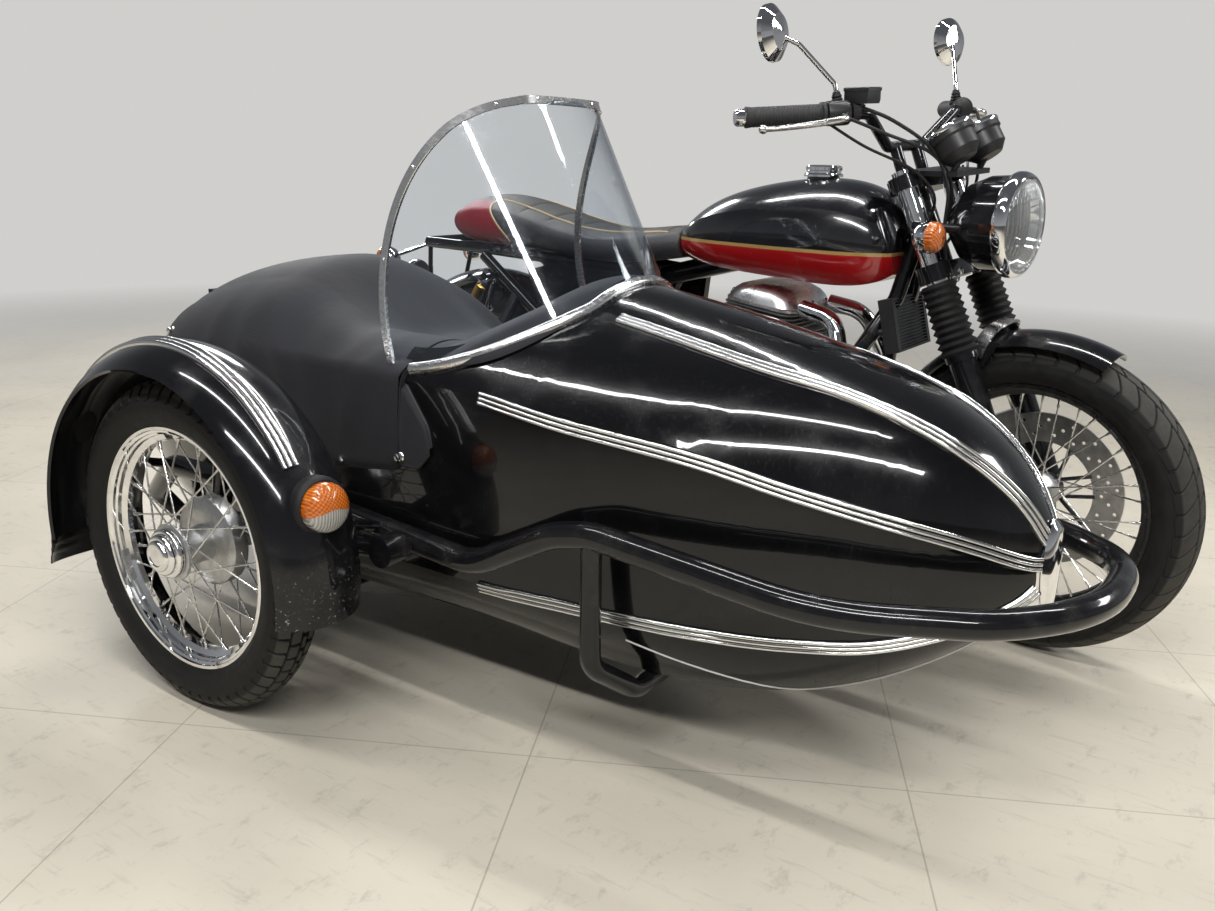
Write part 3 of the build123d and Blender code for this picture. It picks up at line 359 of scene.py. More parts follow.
def thin_sheet(grid, thickness):
    """A closed sheet of that thickness, its top on the grid."""
    rows, columns = len(grid), len(grid[0])
    down = list(zip(*grid))
    top = [place for line in grid for place in line]
    under = []
    for i, line in enumerate(grid):
        for k, place in enumerate(line):
            normal = heading(line, k).cross(heading(down[k], i)).normalized()
            under.append(place - normal * thickness)
    faces = []
    start = rows * columns
    for i in range(rows - 1):
        for k in range(columns - 1):
            a = i * columns + k
            quad = (a, a + 1, a + columns + 1, a + columns)
            faces += [quad, tuple(start + v for v in reversed(quad))]
    rim = list(range(columns)) + [i * columns + columns - 1 for i in range(1, rows)]
    rim += [(rows - 1) * columns + k for k in range(columns - 2, -1, -1)]
    rim += [i * columns for i in range(rows - 2, 0, -1)]
    for a, b in zip(rim, rim[1:] + rim[:1]):
        faces.append((b, a, start + a, start + b))
    return top + under, faces


def mm(*points):
    """A profile's points from millimetres to metres."""
    return [(a / 1000, b / 1000) for a, b in points]


# Mouldings: aluminium strip drawn with three beads, pinned along the shell's edges from their rounded
# ends to the nose. Shade in the two grooves is painted near black.
polished, spot = finish("polished_aluminium", (0.86, 0.86, 0.85), 0.16, 1.0)
haze = spot.noise(120, 4).rise(0.35, 0.75)
# Painted shade: where the groove mark is 1, the base colour goes near black as the grooves' shade.
groove_shade = spot.node("ShaderNodeAttribute", {"attribute_name": "groove"}, {}, "Fac")
(0.13 + haze * 0.04 + groove_shade * 0.4).into("Roughness")
bright = haze.tint((0.88, 0.88, 0.87), (0.78, 0.78, 0.77))
groove_shade.tint(bright, (0.02, 0.02, 0.019)).into("Base Color")

bead_half, groove_half, bead_high, strip_face, strip_back = 0.0032, 0.0007, 0.0042, 0.0012, -0.003
moulding_profile = []
for bead in (1, 0, -1):
    middle = bead * (2 * bead_half + 2 * groove_half)
    for k in range(7):
        turn = pi * k / 6
        moulding_profile.append((middle + bead_half * cos(turn), strip_face + bead_high * sin(turn)))
strip_half = 3 * bead_half + 2 * groove_half
moulding_profile += [(-strip_half, strip_back), (strip_half, strip_back)]
groove_marks = [0] * 5 + [0.2, 1, 1, 0.2] + [0] * 3 + [0.2, 1, 1, 0.2] + [0] * 7


def paint_groove_shade(strip):
    """Marks the two grooves between the beads of a moulding, where its finish paints their shade near
    black.
    """
    rows = len(strip.data.vertices) // len(groove_marks)
    strip.data.attributes.new("groove", "FLOAT", "POINT").data.foreach_set("value", groove_marks * rows)


def on_shell(x, half, z, side):
    """The place and outward direction of the shell's surface nearest a point beside its middle line."""
    core = at(x, sidecar_middle, 0.44)
    place = at(x, sidecar_middle + side * half, z)
    inward = (core - place).normalized()
    found, normal = body_skin.ray_cast(place - inward * 0.2, inward)[:2]
    return (found, normal) if found else (place, -inward)


strip_routes = {  # x, half width, z of points along each strip, from its rear end to the nose cap
    "side": [
        (0.758, 0.298, 0.584), (0.911, 0.289, 0.563), (1.125, 0.26, 0.54), (1.253, 0.23, 0.513),
        (1.382, 0.182, 0.483), (1.478, 0.126, 0.456), (1.567, 0.036, 0.417),
    ],
    "upper": [
        (0.905, 0.125, 0.705), (1.143, 0.136, 0.666), (1.279, 0.124, 0.642), (1.381, 0.11, 0.611),
        (1.465, 0.087, 0.569), (1.533, 0.053, 0.51), (1.57, 0.026, 0.452),
    ],
    "lower": [
        (0.751, 0.294, 0.262), (0.932, 0.28, 0.266), (1.121, 0.246, 0.266), (1.274, 0.199, 0.271),
        (1.388, 0.148, 0.284), (1.517, 0.072, 0.337), (1.566, 0.034, 0.379),
    ],
}
for level, route in strip_routes.items():
    for side, side_name in ((-1, "outer"), (1, "inner")):
        path, outward = [], []
        for x, half, z in curve_through(route, 0.014):
            found, normal = on_shell(x, half, z, side)
            path.append(found + normal * 0.0005)
            outward.append(normal)
        for i in range(1, len(outward) - 1):
            outward[i] = (outward[i - 1] + outward[i] + outward[i + 1]).normalized()
        strip = swept(path, outward, moulding_profile)
        paint_groove_shade(piece(f"{level}_moulding_{side_name}", strip, polished))

# Nose cap: a chromed casting that gathers the strips' ends, screwed on from inside the nose. Its chrome
# is the same as on the rest of the bright parts.
chrome, spot = finish("bright_chrome", (0.88, 0.88, 0.88), 0.05, 1.0)
wipes = spot.stretched(1, 1, 3).noise(60, 4).rise(0.45, 0.8)
(0.03 + wipes * 0.09).into("Roughness")
spot.noise(30, 3).rise(0.4, 0.75).tint((0.92, 0.92, 0.92), (0.78, 0.78, 0.79)).into("Base Color")
dress(chrome, "nose_cap")

# Wind screen: 4 mm clear sheet bent cold round the shoulders. Years of wiping left fine scratches, and
# its free edge wears a folded aluminium strip held by small screws.
clear_sheet, spot = finish("clear_sheet", (0.8, 0.84, 0.9), 0.05, 1.0)
scratch_a = spot.stretched(1.0, 1.0, 0.06).noise(900, 2).rise(0.66, 0.7)
scratch_b = spot.stretched(0.08, 0.5, 1.0).noise(700, 2).rise(0.67, 0.71)
worn = spot.noise(7, 3).rise(0.42, 0.68)
haze = (scratch_a + scratch_b) * worn
film = spot.noise(3.5, 4).rise(0.4, 0.7)
(0.04 + haze * 0.3).into("Roughness")
facing = spot.node("ShaderNodeLayerWeight", {}, {"Blend": 0.5}, 1)
share = 0.035 + facing**4 * 0.8 + haze * 0.22 + film * 0.015
see_through = spot.node("ShaderNodeBsdfTransparent", {}, {"Color": (0.93, 0.95, 0.97, 1)})
share.shows(see_through, spot.own_shader())


def screen_oval(z):
    """The middle, length and half width of the half oval that the screen follows at that height."""
    foot, tall = 0.54, 0.52
    share = (z - foot) / tall
    bow = 0.45 - 0.21 * share
    return 0.975 - 0.275 * share - bow, bow, 0.305 - 0.065 * share


def screen_place(x, z, side):
    """The point of the screen's outer face at that x and z, on one side of the middle."""
    middle, bow, half = screen_oval(z)
    across = half * sqrt(max(0.0, 1 - (max(0.0, x - middle) / bow) ** 2))
    return at(x, sidecar_middle + side * across, z)


def screen_outward(place):
    """The level direction that points out of the screen there."""
    middle, bow, half = screen_oval(place.z)
    reach = place - at(middle, sidecar_middle, place.z)
    return Vector((max(0.0, reach.x) / bow**2, reach.y / half**2, 0)).normalized()


def arc_through(a, b, c, count):
    """Points on the circle through three flat points."""
    ax, ay, bx, by, cx, cy = *a, *b, *c
    d = 2 * (ax * (by - cy) + bx * (cy - ay) + cx * (ay - by))
    ux = (hypot(*a) ** 2 * (by - cy) + hypot(*b) ** 2 * (cy - ay) + hypot(*c) ** 2 * (ay - by)) / d
    uy = (hypot(*a) ** 2 * (cx - bx) + hypot(*b) ** 2 * (ax - cx) + hypot(*c) ** 2 * (bx - ax)) / d
    radius = hypot(ax - ux, ay - uy)
    start, end = atan2(ay - uy, ax - ux), atan2(cy - uy, cx - ux)
    middle = atan2(by - uy, bx - ux)
    while middle > start:
        middle -= 2 * pi
    while end > middle:
        end -= 2 * pi
    turns = [start + (end - start) * k / count for k in range(count + 1)]
    return [(ux + radius * cos(t), uy + radius * sin(t)) for t in turns]


screen_profile = arc_through((0.603, 0.545), (0.533, 0.81), (0.612, 0.99), 34)
screen_profile += arc_through((0.612, 0.99), (0.662, 1.03), (0.7085, 1.0462), 16)[1:]
screen_crest = at(0.7095, sidecar_middle, 1.0462)
near_edge = [screen_place(x, z, -1) for x, z in screen_profile]
far_edge = [screen_place(x, z, 1) for x, z in screen_profile]
edge_path = near_edge[:-2] + [screen_crest] + far_edge[-3::-1]
edge_path = curve_through(edge_path[::2] + [edge_path[-1]], 0.008)


def profile_turn(z):
    """The angle from dead ahead at which the sheet's free edge stands at that height."""
    for (x_low, z_low), (x_high, z_high) in zip(screen_profile, screen_profile[1:]):
        if z_low <= z <= z_high:
            x = x_low + (x_high - x_low) * (z - z_low) / (z_high - z_low)
            middle, bow, half = screen_oval(z)
            return acos(max(-1.0, min(1.0, (x - middle) / bow)))
    return 0.0


def sheet_place(share, z):
    """The sheet's outer face at that height and share of the way from dead ahead to its free edge."""
    middle, bow, half = screen_oval(z)
    turn = share * profile_turn(z)
    return at(middle + bow * cos(turn), sidecar_middle + half * sin(turn), z)


high_steps, wide_steps, lowest_foot, overhead = 48, 72, 0.575, 1.2
feet = []
for column in range(wide_steps + 1):
    share = -1 + 2 * column / wide_steps
    foot_z = 0.6
    for _ in range(7):
        place = sheet_place(share, foot_z)
        hit = body_skin.ray_cast(Vector((place.x, place.y, overhead)), -upward)[0]
        foot_z = max(lowest_foot, hit.z) if hit else lowest_foot
    feet.append((share, foot_z))
sheet_top, sheet_thickness = screen_profile[-1][1] - 0.0004, 0.004
sheet_rows = []
for row in range(high_steps + 1):
    climb = (row / high_steps) ** 1.15
    sheet_rows.append([sheet_place(share, z + (sheet_top - z) * climb) for share, z in feet])
sheet_solid = thin_sheet(sheet_rows, sheet_thickness)
sheet = piece("screen_sheet", sheet_solid, clear_sheet, "root", 60)
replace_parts(sheet, "wind_screen")
edge_out = [screen_outward(place) for place in edge_path]
edge_path = [place - out * (sheet_thickness / 2) for place, out in zip(edge_path, edge_out)]
fold = mm((9.5, 3.6), (9.5, 2.2), (-2.2, 2.2), (-2.2, -2.2), (9.5, -2.2))
fold += mm((9.5, -3.6), (-2.6, -3.6), (-3.8, -2.6), (-3.8, 2.6), (-2.6, 3.6))
edge_strip = swept(edge_path, edge_out, [(-a, o) for a, o in fold])
worn_aluminium, spot = finish("worn_aluminium", (0.66, 0.66, 0.65), 0.34, 1.0)
wear = spot.stretched(1, 1, 2).noise(75, 5, 0.62).rise(0.38, 0.72)
wear.wears(0.2, 0.14, (0.8, 0.8, 0.79), (0.6, 0.6, 0.59))
piece("screen_edge_strip", edge_strip, worn_aluminium, sharp=30)


def compass(axis):
    """The axis as a unit vector, and a function that gives the direction square to it at any angle."""
    axis = axis.normalized()
    level = axis.orthogonal().normalized()
    other = axis.cross(level)
    return axis, lambda turn: level * cos(turn) + other * sin(turn)


def turned(place, axis, profile, count=20):
    """A solid of revolution of (radius, height) points round an axis, closed at both ends."""
    axis, out = compass(axis)
    outs = [out(2 * pi * k / count) for k in range(count)]
    return lofted([[place + axis * height + out * radius for out in outs] for radius, height in profile])


pan_head = mm((3.4, 0), (3.4, 0.6), (2.8, 1.6), (1.4, 2.2), (1, 1.2), (0.2, 1.2))
fold_out = 0.0034
screws = []
for x, z in ((0.575, 0.638), (0.536, 0.786), (0.582, 0.929), (0.671, 1.016), (0.7, 1.036)):
    for side in (-1, 1):
        spot_on_edge = screen_place(x, z, side)
        nearest = min(range(len(edge_path)), key=lambda i: (edge_path[i] - spot_on_edge).length)
        out = edge_out[nearest]
        inset = heading(edge_path, nearest).normalized().cross(out).normalized() * -0.004
        screws.append(turned(edge_path[nearest] + inset + out * fold_out, out, pan_head, 12))
piece("screen_screws", joined(*screws), polished)


def smoothed(line, times):
    """The line with each inner value drawn toward its neighbours, so many times over."""
    for _ in range(times):
        inner = [(a + b * 2 + c) / 4 for a, b, c in zip(line, line[1:], line[2:])]
        line = [line[0], *inner, line[-1]]
    return line


# Screen base: the sheet stands in a black rubber strip, and a half-round aluminium rail 20 mm wide
# clamps it down along the shoulders.
rail_half, rail_reach, rail_end, rail_low = 0.0105, 80, 0.604, 0.56
rail_path, rail_out, stand_out = [], [], []
for k in range(2 * rail_reach + 1):
    side = -1 if k < rail_reach else 1
    z = 0.6
    for _ in range(8):
        middle, bow, half = screen_oval(z)
        turn = abs(k - rail_reach) / rail_reach * acos((rail_end - middle) / bow)
        foot = at(middle + bow * cos(turn), sidecar_middle + side * half * sin(turn), 0)
        hit = body_skin.ray_cast(foot + upward * overhead, -upward)
        z = hit[0].z if hit[0] else rail_low
    rail_path.append(foot + upward * z)
    stand_out.append(screen_outward(rail_path[-1]))
    rail_out.append((hit[1] if hit[0] else Vector((0, side, 1))) + stand_out[-1] * 0.9)
rail_path = smoothed(rail_path, 3)
for _ in range(3):
    rail_out[1:-1] = [(a + b + c).normalized() for a, b, c in zip(rail_out, rail_out[1:], rail_out[2:])]
rail_places = [place + out.normalized() * 0.004 for place, out in zip(rail_path, rail_out)]
half_round = [(rail_half * cos(pi * k / 12), rail_half * sin(pi * k / 12)) for k in range(13)]
half_round += [(-rail_half, -0.006), (rail_half, -0.006)]
base_rail = swept(rail_places, rail_out, half_round)
piece("screen_base_rail", base_rail, worn_aluminium, sharp=50)
rubber, spot = finish("black_rubber", (0.007, 0.007, 0.0075), 0.6, 0.0, {"Specular IOR Level": 0.35})
spot.noise(40, 4).wears(0.5, 0.2)
seal_profile = mm((-4, -4), (18, -4), (20, 0), (18, 2.5), (6, 4.5), (-4, 4))
seal = swept([p + upward * 0.008 for p in rail_path], stand_out, seal_profile)
piece("screen_base_seal", seal, rubber, "root", 50)

# Cockpit cover: one charcoal coated cloth drawn over the cockpit and down the entry side, bound at its
# edge and held by lift-off studs. It sags a little over the opening and falls in soft folds.
cover_skin = skin_of("tonneau_cover")
cover_core = 0.45


def eased(low, high, value):
    """0 below low, 1 above high and a smooth rise between."""
    share = max(0.0, min(1.0, (value - low) / (high - low)))
    return share * share * (3 - 2 * share)


def settled(place):
    """Toward the screen the cloth sinks between the shoulders, most on the side away from the stops."""
    local = place - rear_foot
    side = local.y - sidecar_middle
    shoulder = max(0.6, 0.593 + (local.x - 0.623) * 0.72)
    sink = 0.88 * eased(0.15, 0.45, local.x) * (1 - eased(0.62, 0.9, local.x))
    sink *= 1 - 0.45 * eased(0.06, 0.26, -side)
    lower = 0.1 * eased(0.08, 0.3, side) * eased(0.25, 0.4, local.x) * (1 - eased(0.5, 0.62, local.x))
    height = local.z - max(0.0, local.z - shoulder) * sink - lower * eased(0.5, 0.6, local.z)
    return Vector((place.x, place.y, height))


def cover_hit(x, turn):
    """The cloth's outer surface in the plane at x, that angle from straight up, or None."""
    out = Vector((0, sin(turn), cos(turn)))
    start = at(x, sidecar_middle, cover_core) + out * 0.6
    hit = cover_skin.ray_cast(start, -out, 0.6)[0]
    return settled(hit) if hit else None


def cover_limit(x, start, step):
    """How far from start the cloth reaches in that direction, as an angle."""
    widest, halvings = 2.4, 9
    turn = start
    while cover_hit(x, turn + step) and abs(turn) < widest:
        turn += step
    near, far = turn, turn + step
    for _ in range(halvings):
        middle = (near + far) / 2
        near, far = (middle, far) if cover_hit(x, middle) else (near, middle)
    return near


cloth_folds = [  # x where a fold starts at the rim, its slant, its width and its height
    (0.02, 0.35, 0.03, 0.0035), (0.13, 0.55, 0.034, 0.006), (0.235, 0.7, 0.028, 0.005),
    (0.345, 0.3, 0.036, 0.0045), (0.455, 0.1, 0.03, 0.003), (0.53, -0.35, 0.022, 0.003),
]


def cloth_lift(x, side, z):
    """Folds and sag over the drawn surface, as a height; x, side and z are from the rear axle's foot."""
    sag = exp(-(((x - 0.27) / 0.3) ** 2) - ((side / 0.17) ** 2)) * -0.011
    fall = max(0.0, min(1.0, (0.71 - z) / 0.12))
    near = 1 if side < 0 else 0.6
    folds = 0
    for start, slant, width, height in cloth_folds:
        folds += height * exp(-(((x - start - slant * (0.66 - z)) / width) ** 2))
    return 0.0015 + sag + folds * fall * near


def cloth_patch(rows, starts, columns):
    """A grid of cloth over the cover at those x, each from hem to hem round its starting angle."""
    grid = []
    for x, start in zip(rows, starts):
        low, high = cover_limit(x, start, -0.03), cover_limit(x, start, 0.03)
        line = []
        for k in range(columns + 1):
            line.append(cover_hit(x, low + (high - low) * k / columns) or line[-1].copy())
        grid.append(line)
    flat_rim = 8
    down = list(zip(*grid))
    lifted = []
    for i, line in enumerate(grid):
        new_line = []
        for k, place in enumerate(line):
            normal = heading(down[k], i).cross(heading(line, k)).normalized()
            if normal.dot(place - at(place.x - rear_foot.x, sidecar_middle, cover_core)) < 0:
                normal = -normal
            local = place - rear_foot
            rim = min(k, columns - k, flat_rim) / flat_rim
            lift = cloth_lift(local.x, local.y - sidecar_middle, local.z)
            new_line.append(place + normal * (lift * rim))
        lifted.append(new_line)
    return lifted


def spaced(low, high, count):
    return [low + (high - low) * k / count for k in range(count + 1)]


screen_line = 0.5945
main_rows = spaced(-0.2295, screen_line, 66)
main_cloth = cloth_patch(main_rows, [0] * len(main_rows), 96)
front_rows = spaced(screen_line, 0.6, 1) + spaced(0.61, 0.86, 25)
front_rows = [x for x in front_rows if cover_hit(x, 0)]
front_cloth = cloth_patch(front_rows, [0] * len(front_rows), 60)
lobe_rows = spaced(screen_line, 0.6625, 12)
lobe_starts = []
for x in lobe_rows:
    found = [turn / 200 for turn in range(-360, -240) if cover_hit(x, turn / 200)]
    lobe_starts.append(sum(found) / len(found))
lobe_cloth = cloth_patch(lobe_rows, lobe_starts, 14)
cloth_values = {"Sheen Weight": 0.06, "Specular IOR Level": 0.35}
cloth_finish, spot = finish("charcoal_cloth", (0.014, 0.014, 0.016), 0.72, 0.0, cloth_values)
threads = 2600
weave_x, weave_y, weave_z = (part * threads for part in spot.axes())
weave = (weave_x + weave_z).sine() * (weave_y - weave_z * 0.7).sine()
clouds = spot.noise(4.5, 4).rise(0.35, 0.7)
lint = spot.noise(420, 2).rise(0.68, 0.78)
clouds.tint((0.0075, 0.0077, 0.0105), (0.013, 0.0133, 0.0175)).into("Base Color")
(0.64 + clouds * 0.12 + lint * 0.1).into("Roughness")
(weave * 0.25 + spot.noise(55, 3) * 0.8).raised(0.0006)
cloths = joined(*(thin_sheet(grid, 0.0016) for grid in (main_cloth, front_cloth, lobe_cloth)))
cover_piece = piece("cockpit_cover", cloths, cloth_finish, "root", 60)

binding_finish, spot = finish("cloth_binding", (0.012, 0.012, 0.013), 0.55)
(0.5 + spot.noise(300, 2) * 0.2).into("Roughness")


def round_bar(path, radius, count=10):
    """A closed bar of round section along a path, of one radius or a list with one for each point."""
    turns = [2 * pi * k / count for k in range(count)]
    rings, side = [], None
    for i, place in enumerate(path):
        run = heading(path, i).normalized()
        side = run.orthogonal() if side is None else side - run * side.dot(run)
        side.normalize()
        other = run.cross(side)
        thick = radius[i] if isinstance(radius, list) else radius
        rings.append([place + (side * cos(turn) + other * sin(turn)) * thick for turn in turns])
    return lofted(rings)


near_hem = [line[0] for line in main_cloth] + [line[0] for line in lobe_cloth[1:]]
near_hem += lobe_cloth[-1][1:] + [line[-1] for line in lobe_cloth[-2::-1]]
far_hem = [line[-1] for line in main_cloth]
hems = []
for run in (near_hem, far_hem, main_cloth[0]):
    spread = [run[0]]
    for place in run[1:]:
        if (place - spread[-1]).length > 0.004:
            spread.append(place)
    hems.append(round_bar(spread, 0.0027, 8))
binding = piece("cover_binding", joined(*hems), binding_finish, "root")


def hem_place(hem, x):
    """The hem's place at that x, over the cockpit or just ahead of it."""
    last = len(hem) - 1
    nearest = min(range(len(main_rows) + 4), key=lambda i: abs(hem[min(i, last)].x - rear_foot.x - x))
    return hem[min(nearest, last)]


stud_profile = mm((8.5, -1), (8.5, 1.5), (7.2, 3), (5, 3.6), (5, 7.5))
stud_profile += mm((6.2, 8.5), (6.2, 10.5), (4, 11.8), (0.5, 12))
studs = []
for x in (-0.19, -0.03, 0.13, 0.3, 0.463, 0.6):
    for hem, side in ((near_hem, -1), (far_hem, 1)):
        found = cover_skin.find_nearest(hem_place(hem, x) + upward * 0.014)[0]
        outward = Vector((0, side, 0.15)).normalized()
        studs.append(turned(found + outward * 0.001, outward, stud_profile, 16))
stud_pieces = piece("cover_studs", joined(*studs), polished)
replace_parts(cover_piece, "tonneau_cover")
cloth_area = 0
for grid in (main_cloth, front_cloth, lobe_cloth):
    for line, after in zip(grid, grid[1:]):
        for a, b, c, d in zip(line, line[1:], after, after[1:]):
            cloth_area += ((b - a).cross(c - a).length + (d - b).cross(d - c).length) / 2

# Nose shield and keel: an oval chromed shield with a soft ridge sits over the strips' ends, and a thin
# pale bead closes the shell's lower joint; its pale tone also paints the highlight along that edge.
nose_skin = skin_of("sidecar_body", "nose_cap")
shield_steps, shield_half, shield_foot = 24, 0.035, 0.402
shield_rows = []
for k in range(shield_steps + 1):
    high = -1 + 2 * k / shield_steps
    half = shield_half * sqrt(max(0.01, 1 - high**2)) * (1 + 0.12 * high)
    line = []
    for j in range(shield_steps + 1):
        across = -1 + 2 * j / shield_steps
        foot = at(1.8, sidecar_middle - half * across, shield_foot + 0.074 * high)
        hit = nose_skin.ray_cast(foot, -ahead)
        place = hit[0] if hit[0] else foot - Vector((0.25, 0, 0))
        rim = 1 - max(abs(high), abs(across)) ** 4
        ridge = 0.003 * exp(-((across / 0.2) ** 2)) * (1 - high**2)
        line.append(place + Vector((0.0015 + 0.004 * rim + ridge, 0, 0)))
    shield_rows.append(smoothed(line, 3))
piece("nose_shield", thin_sheet(shield_rows, 0.004), chrome, sharp=50)
# The bead's pale tone is partly the joint's own light flange and partly a painted highlight on the edge.
keel_pale_and_highlight, spot = finish("keel_bead", (0.62, 0.62, 0.6), 0.4)
spot.noise(60, 4).tint((0.68, 0.68, 0.66), (0.5, 0.5, 0.48)).into("Base Color")
keel_marks = [
    (1.02, -0.9, 0.225), (1.153, -0.852, 0.195), (1.26, -0.8, 0.177), (1.35, -0.765, 0.19),
    (1.45, -0.725, 0.232), (1.535, -0.69, 0.295),
]


def mirrored(line, middle):
    """The same line on the other side of an upright plane, that far to the left of the rear wheel."""
    return [Vector((p.x, 2 * (rear_foot.y + middle) - p.y, p.z)) for p in line]


keel_places = [body_skin.find_nearest(at(*mark))[0] for mark in keel_marks]
keel_line = [body_skin.find_nearest(place)[0] for place in curve_through(keel_places, 0.01)]
keel_sides = [round_bar(line, 0.0018, 8) for line in (keel_line, mirrored(keel_line, sidecar_middle))]
piece("keel_bead", joined(*keel_sides), keel_pale_and_highlight, "root", 50)

# Black enamel: the motorcycle's tube frame and the sidecar's chassis, welded steel stoved in thick gloss
# black, a little uneven under the hand. The yokes, sliders and rear mudguard have the same.
enamel, spot = finish("black_enamel", (0.008, 0.008, 0.009), 0.25, 0.0, wet_coat(0.045))
grit = spot.noise(22, 6, 0.65).rise(0.5, 0.8)
grit.wears(0.2, 0.16, (0.006, 0.006, 0.007), (0.024, 0.023, 0.022))
spot.noise(45, 2).raised(0.00012)
dress(enamel, "frame", "cradle_left", "cradle_right", "sidecar_chassis", "coupling_struts", "wheel_arm")
dress(enamel, "swing_arm", "side_panels", "rear_fender", "side_stand")
dress(enamel, "fork_yokes", "fork_sliders", "handlebar")

# Sidecar mudguard: pressed steel with a wired edge, gloss black like the body. Along its crown runs a
# wider strip of three beads with a square end, and stones and boots have scuffed its front lip.
guard_paint, spot = finish("mudguard_paint", (0.006, 0.006, 0.007), 0.3, 0.0, wet_coat(0.05))
side_x, side_y, side_z = 0.291, -1.151, 0.293
x, y, z = spot.axes()
low_front = (x - (rear_foot.x + side_x + 0.27)).rise(0.0, 0.06) * (0.36 - z).rise(0.0, 0.1)
scuffs = spot.stretched(0.4, 1, 1).noise(170, 5, 0.7).rise(0.6, 0.66) * low_front
dust = spot.noise(9, 6, 0.62).rise(0.5, 0.8)
(scuffs * 0.8 + dust * 0.05).tint((0.006, 0.006, 0.007), (0.3, 0.3, 0.29)).into("Base Color")
(0.14 + dust * 0.22 + scuffs * 0.5).into("Roughness")
(spot.noise(6, 1) * 1.0 + spot.noise(70, 3) * 0.03).raised(0.0012)
dress(guard_paint, "sidecar_mudguard", "front_fender", "headlamp_shell")


def guard_place(angle, aside, lift=0.0):
    """A point over the sidecar mudguard, that angle ahead of straight up and so far off its middle."""
    guard_radius, crown = 0.358, 0.11245
    rise = sqrt(crown**2 - aside**2)
    out = Vector((sin(angle), 0, cos(angle)))
    tilt = (out * rise + leftward * aside).normalized()
    return at(side_x, side_y + aside, side_z) + out * (guard_radius - crown + rise + lift), tilt


guard_run = [guard_place(radians(56 - 1.6 * k), -0.024, 0.0008) for k in range(88)]
wide_beads = [(a * 1.25, o * 1.2) for a, o in moulding_profile]
guard_strip = swept([place for place, _ in guard_run], [tilt for _, tilt in guard_run], wide_beads)
paint_groove_shade(piece("mudguard_moulding", guard_strip, polished))

# Mudguard tip: the rear end flares out, with three pressed ribs across it to stiffen it. It is bent out
# of the same sheet.
tip_rows, tip_half, rib_high, rib_waves = 14, 0.086, 0.0016, 5
tip = []
for i in range(tip_rows + 1):
    share = i / tip_rows
    angle = radians(-92 - 13 * share)
    out = Vector((sin(angle), 0, cos(angle)))
    rib = rib_high * max(0.0, sin(2 * pi * rib_waves * share)) if share > 0.3 else 0
    lift = 0.026 * share**2 + rib - 0.0005
    tip.append([guard_place(angle, k / 20 * tip_half * 0.985)[0] + out * lift for k in range(-20, 21)])
piece("mudguard_tip", thin_sheet(tip, 0.0025), guard_paint, "root", 50)

# Side lamps: a ribbed dome over a black rubber boot, amber above and clear below at the front, with a
# small amber one at the rear.
amber_glass = {"Coat Weight": 1.0, "Transmission Weight": 0.35, "IOR": 1.45}
amber, spot = finish("amber_lens", (0.75, 0.16, 0.008), 0.12, 0.0, amber_glass)
y, z = spot.axes()[1:]
cells = (y * 900).sine() * (z * 900).sine()
# Painted glints: the cells alternate lighter and darker amber, in step with their bumps.
cells.rise(-0.6, 0.9).tint((0.55, 0.09, 0.003), (0.95, 0.3, 0.03)).into("Base Color")
cells.raised(0.0006)
clear_glass = {"Coat Weight": 1.0, "Transmission Weight": 0.5, "IOR": 1.45}
clear_lens, spot = finish("clear_lens", (0.82, 0.8, 0.76), 0.1, 0.0, clear_glass)
flutes = (spot.axes()[1] * 1400).sine()
# Painted glints: the flutes alternate lighter and darker, in step with their bumps.
flutes.rise(-1, 1).tint((0.5, 0.48, 0.44), (0.95, 0.94, 0.9)).into("Base Color")
flutes.raised(0.0008)


def dome(place, axis, rim, high, start=0.0, sweep=2 * pi, count=48):
    """Part of a domed lens with a short straight skirt, as a closed cap between two angles."""
    axis = axis.normalized()
    level = upward.cross(axis).normalized()
    upright = axis.cross(level)
    skirt, rings = 0.34, 10
    profile = [(rim, 0.0)]
    for k in range(rings + 1):
        turn = pi / 2 * k / rings
        profile.append((rim * cos(turn), high * (skirt + (1 - skirt) * sin(turn))))
    turns = [start + sweep * k / count for k in range(count + 1)]
    outs = [level * cos(turn) + upright * sin(turn) for turn in turns]
    return thin_sheet([[place + axis * height + out * r for out in outs] for r, height in profile], 0.002)


lamp_axis = Vector((1.0, -0.08, 0.1)).normalized()
lamp_foot = at(0.612, side_y, 0.43) + lamp_axis * 0.006
lens_foot = lamp_foot + lamp_axis * 0.008
boot_profile = mm((47, -30), (47.5, 0), (46, 8), (41, 11), (38, 6), (10, 4))
piece("side_lamp_boot", turned(lamp_foot, lamp_axis, boot_profile, 40), rubber, "root", 50)
lens_top = dome(lens_foot, lamp_axis, 0.039, 0.034, radians(-12), radians(204))
lens_low = dome(lens_foot, lamp_axis, 0.0388, 0.0335, radians(192), radians(156))
top_piece = piece("side_lamp_amber", lens_top, amber, "root")
piece("side_lamp_clear", lens_low, clear_lens, "root")
reflector_profile = mm((37, 7), (30, 4), (18, 1), (12, 0), (11.5, 12), (0.5, 16))
piece("side_lamp_bowl", turned(lamp_foot, lamp_axis, reflector_profile, 32), chrome)
rear_place, rear_tilt = guard_place(radians(-63), 0.0)
rear_lens = dome(rear_place - rear_tilt * 0.002, rear_tilt, 0.03, 0.024)
piece("side_lamp_rear", rear_lens, amber, "root")
boot_low = mm((36, -6), (36.5, 2), (35, 7), (31, 9), (29, 4), (10, 3))
piece("side_lamp_rear_boot", turned(rear_place, rear_tilt, boot_low, 32), rubber, "root", 50)
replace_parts(top_piece, "sidecar_lamps")

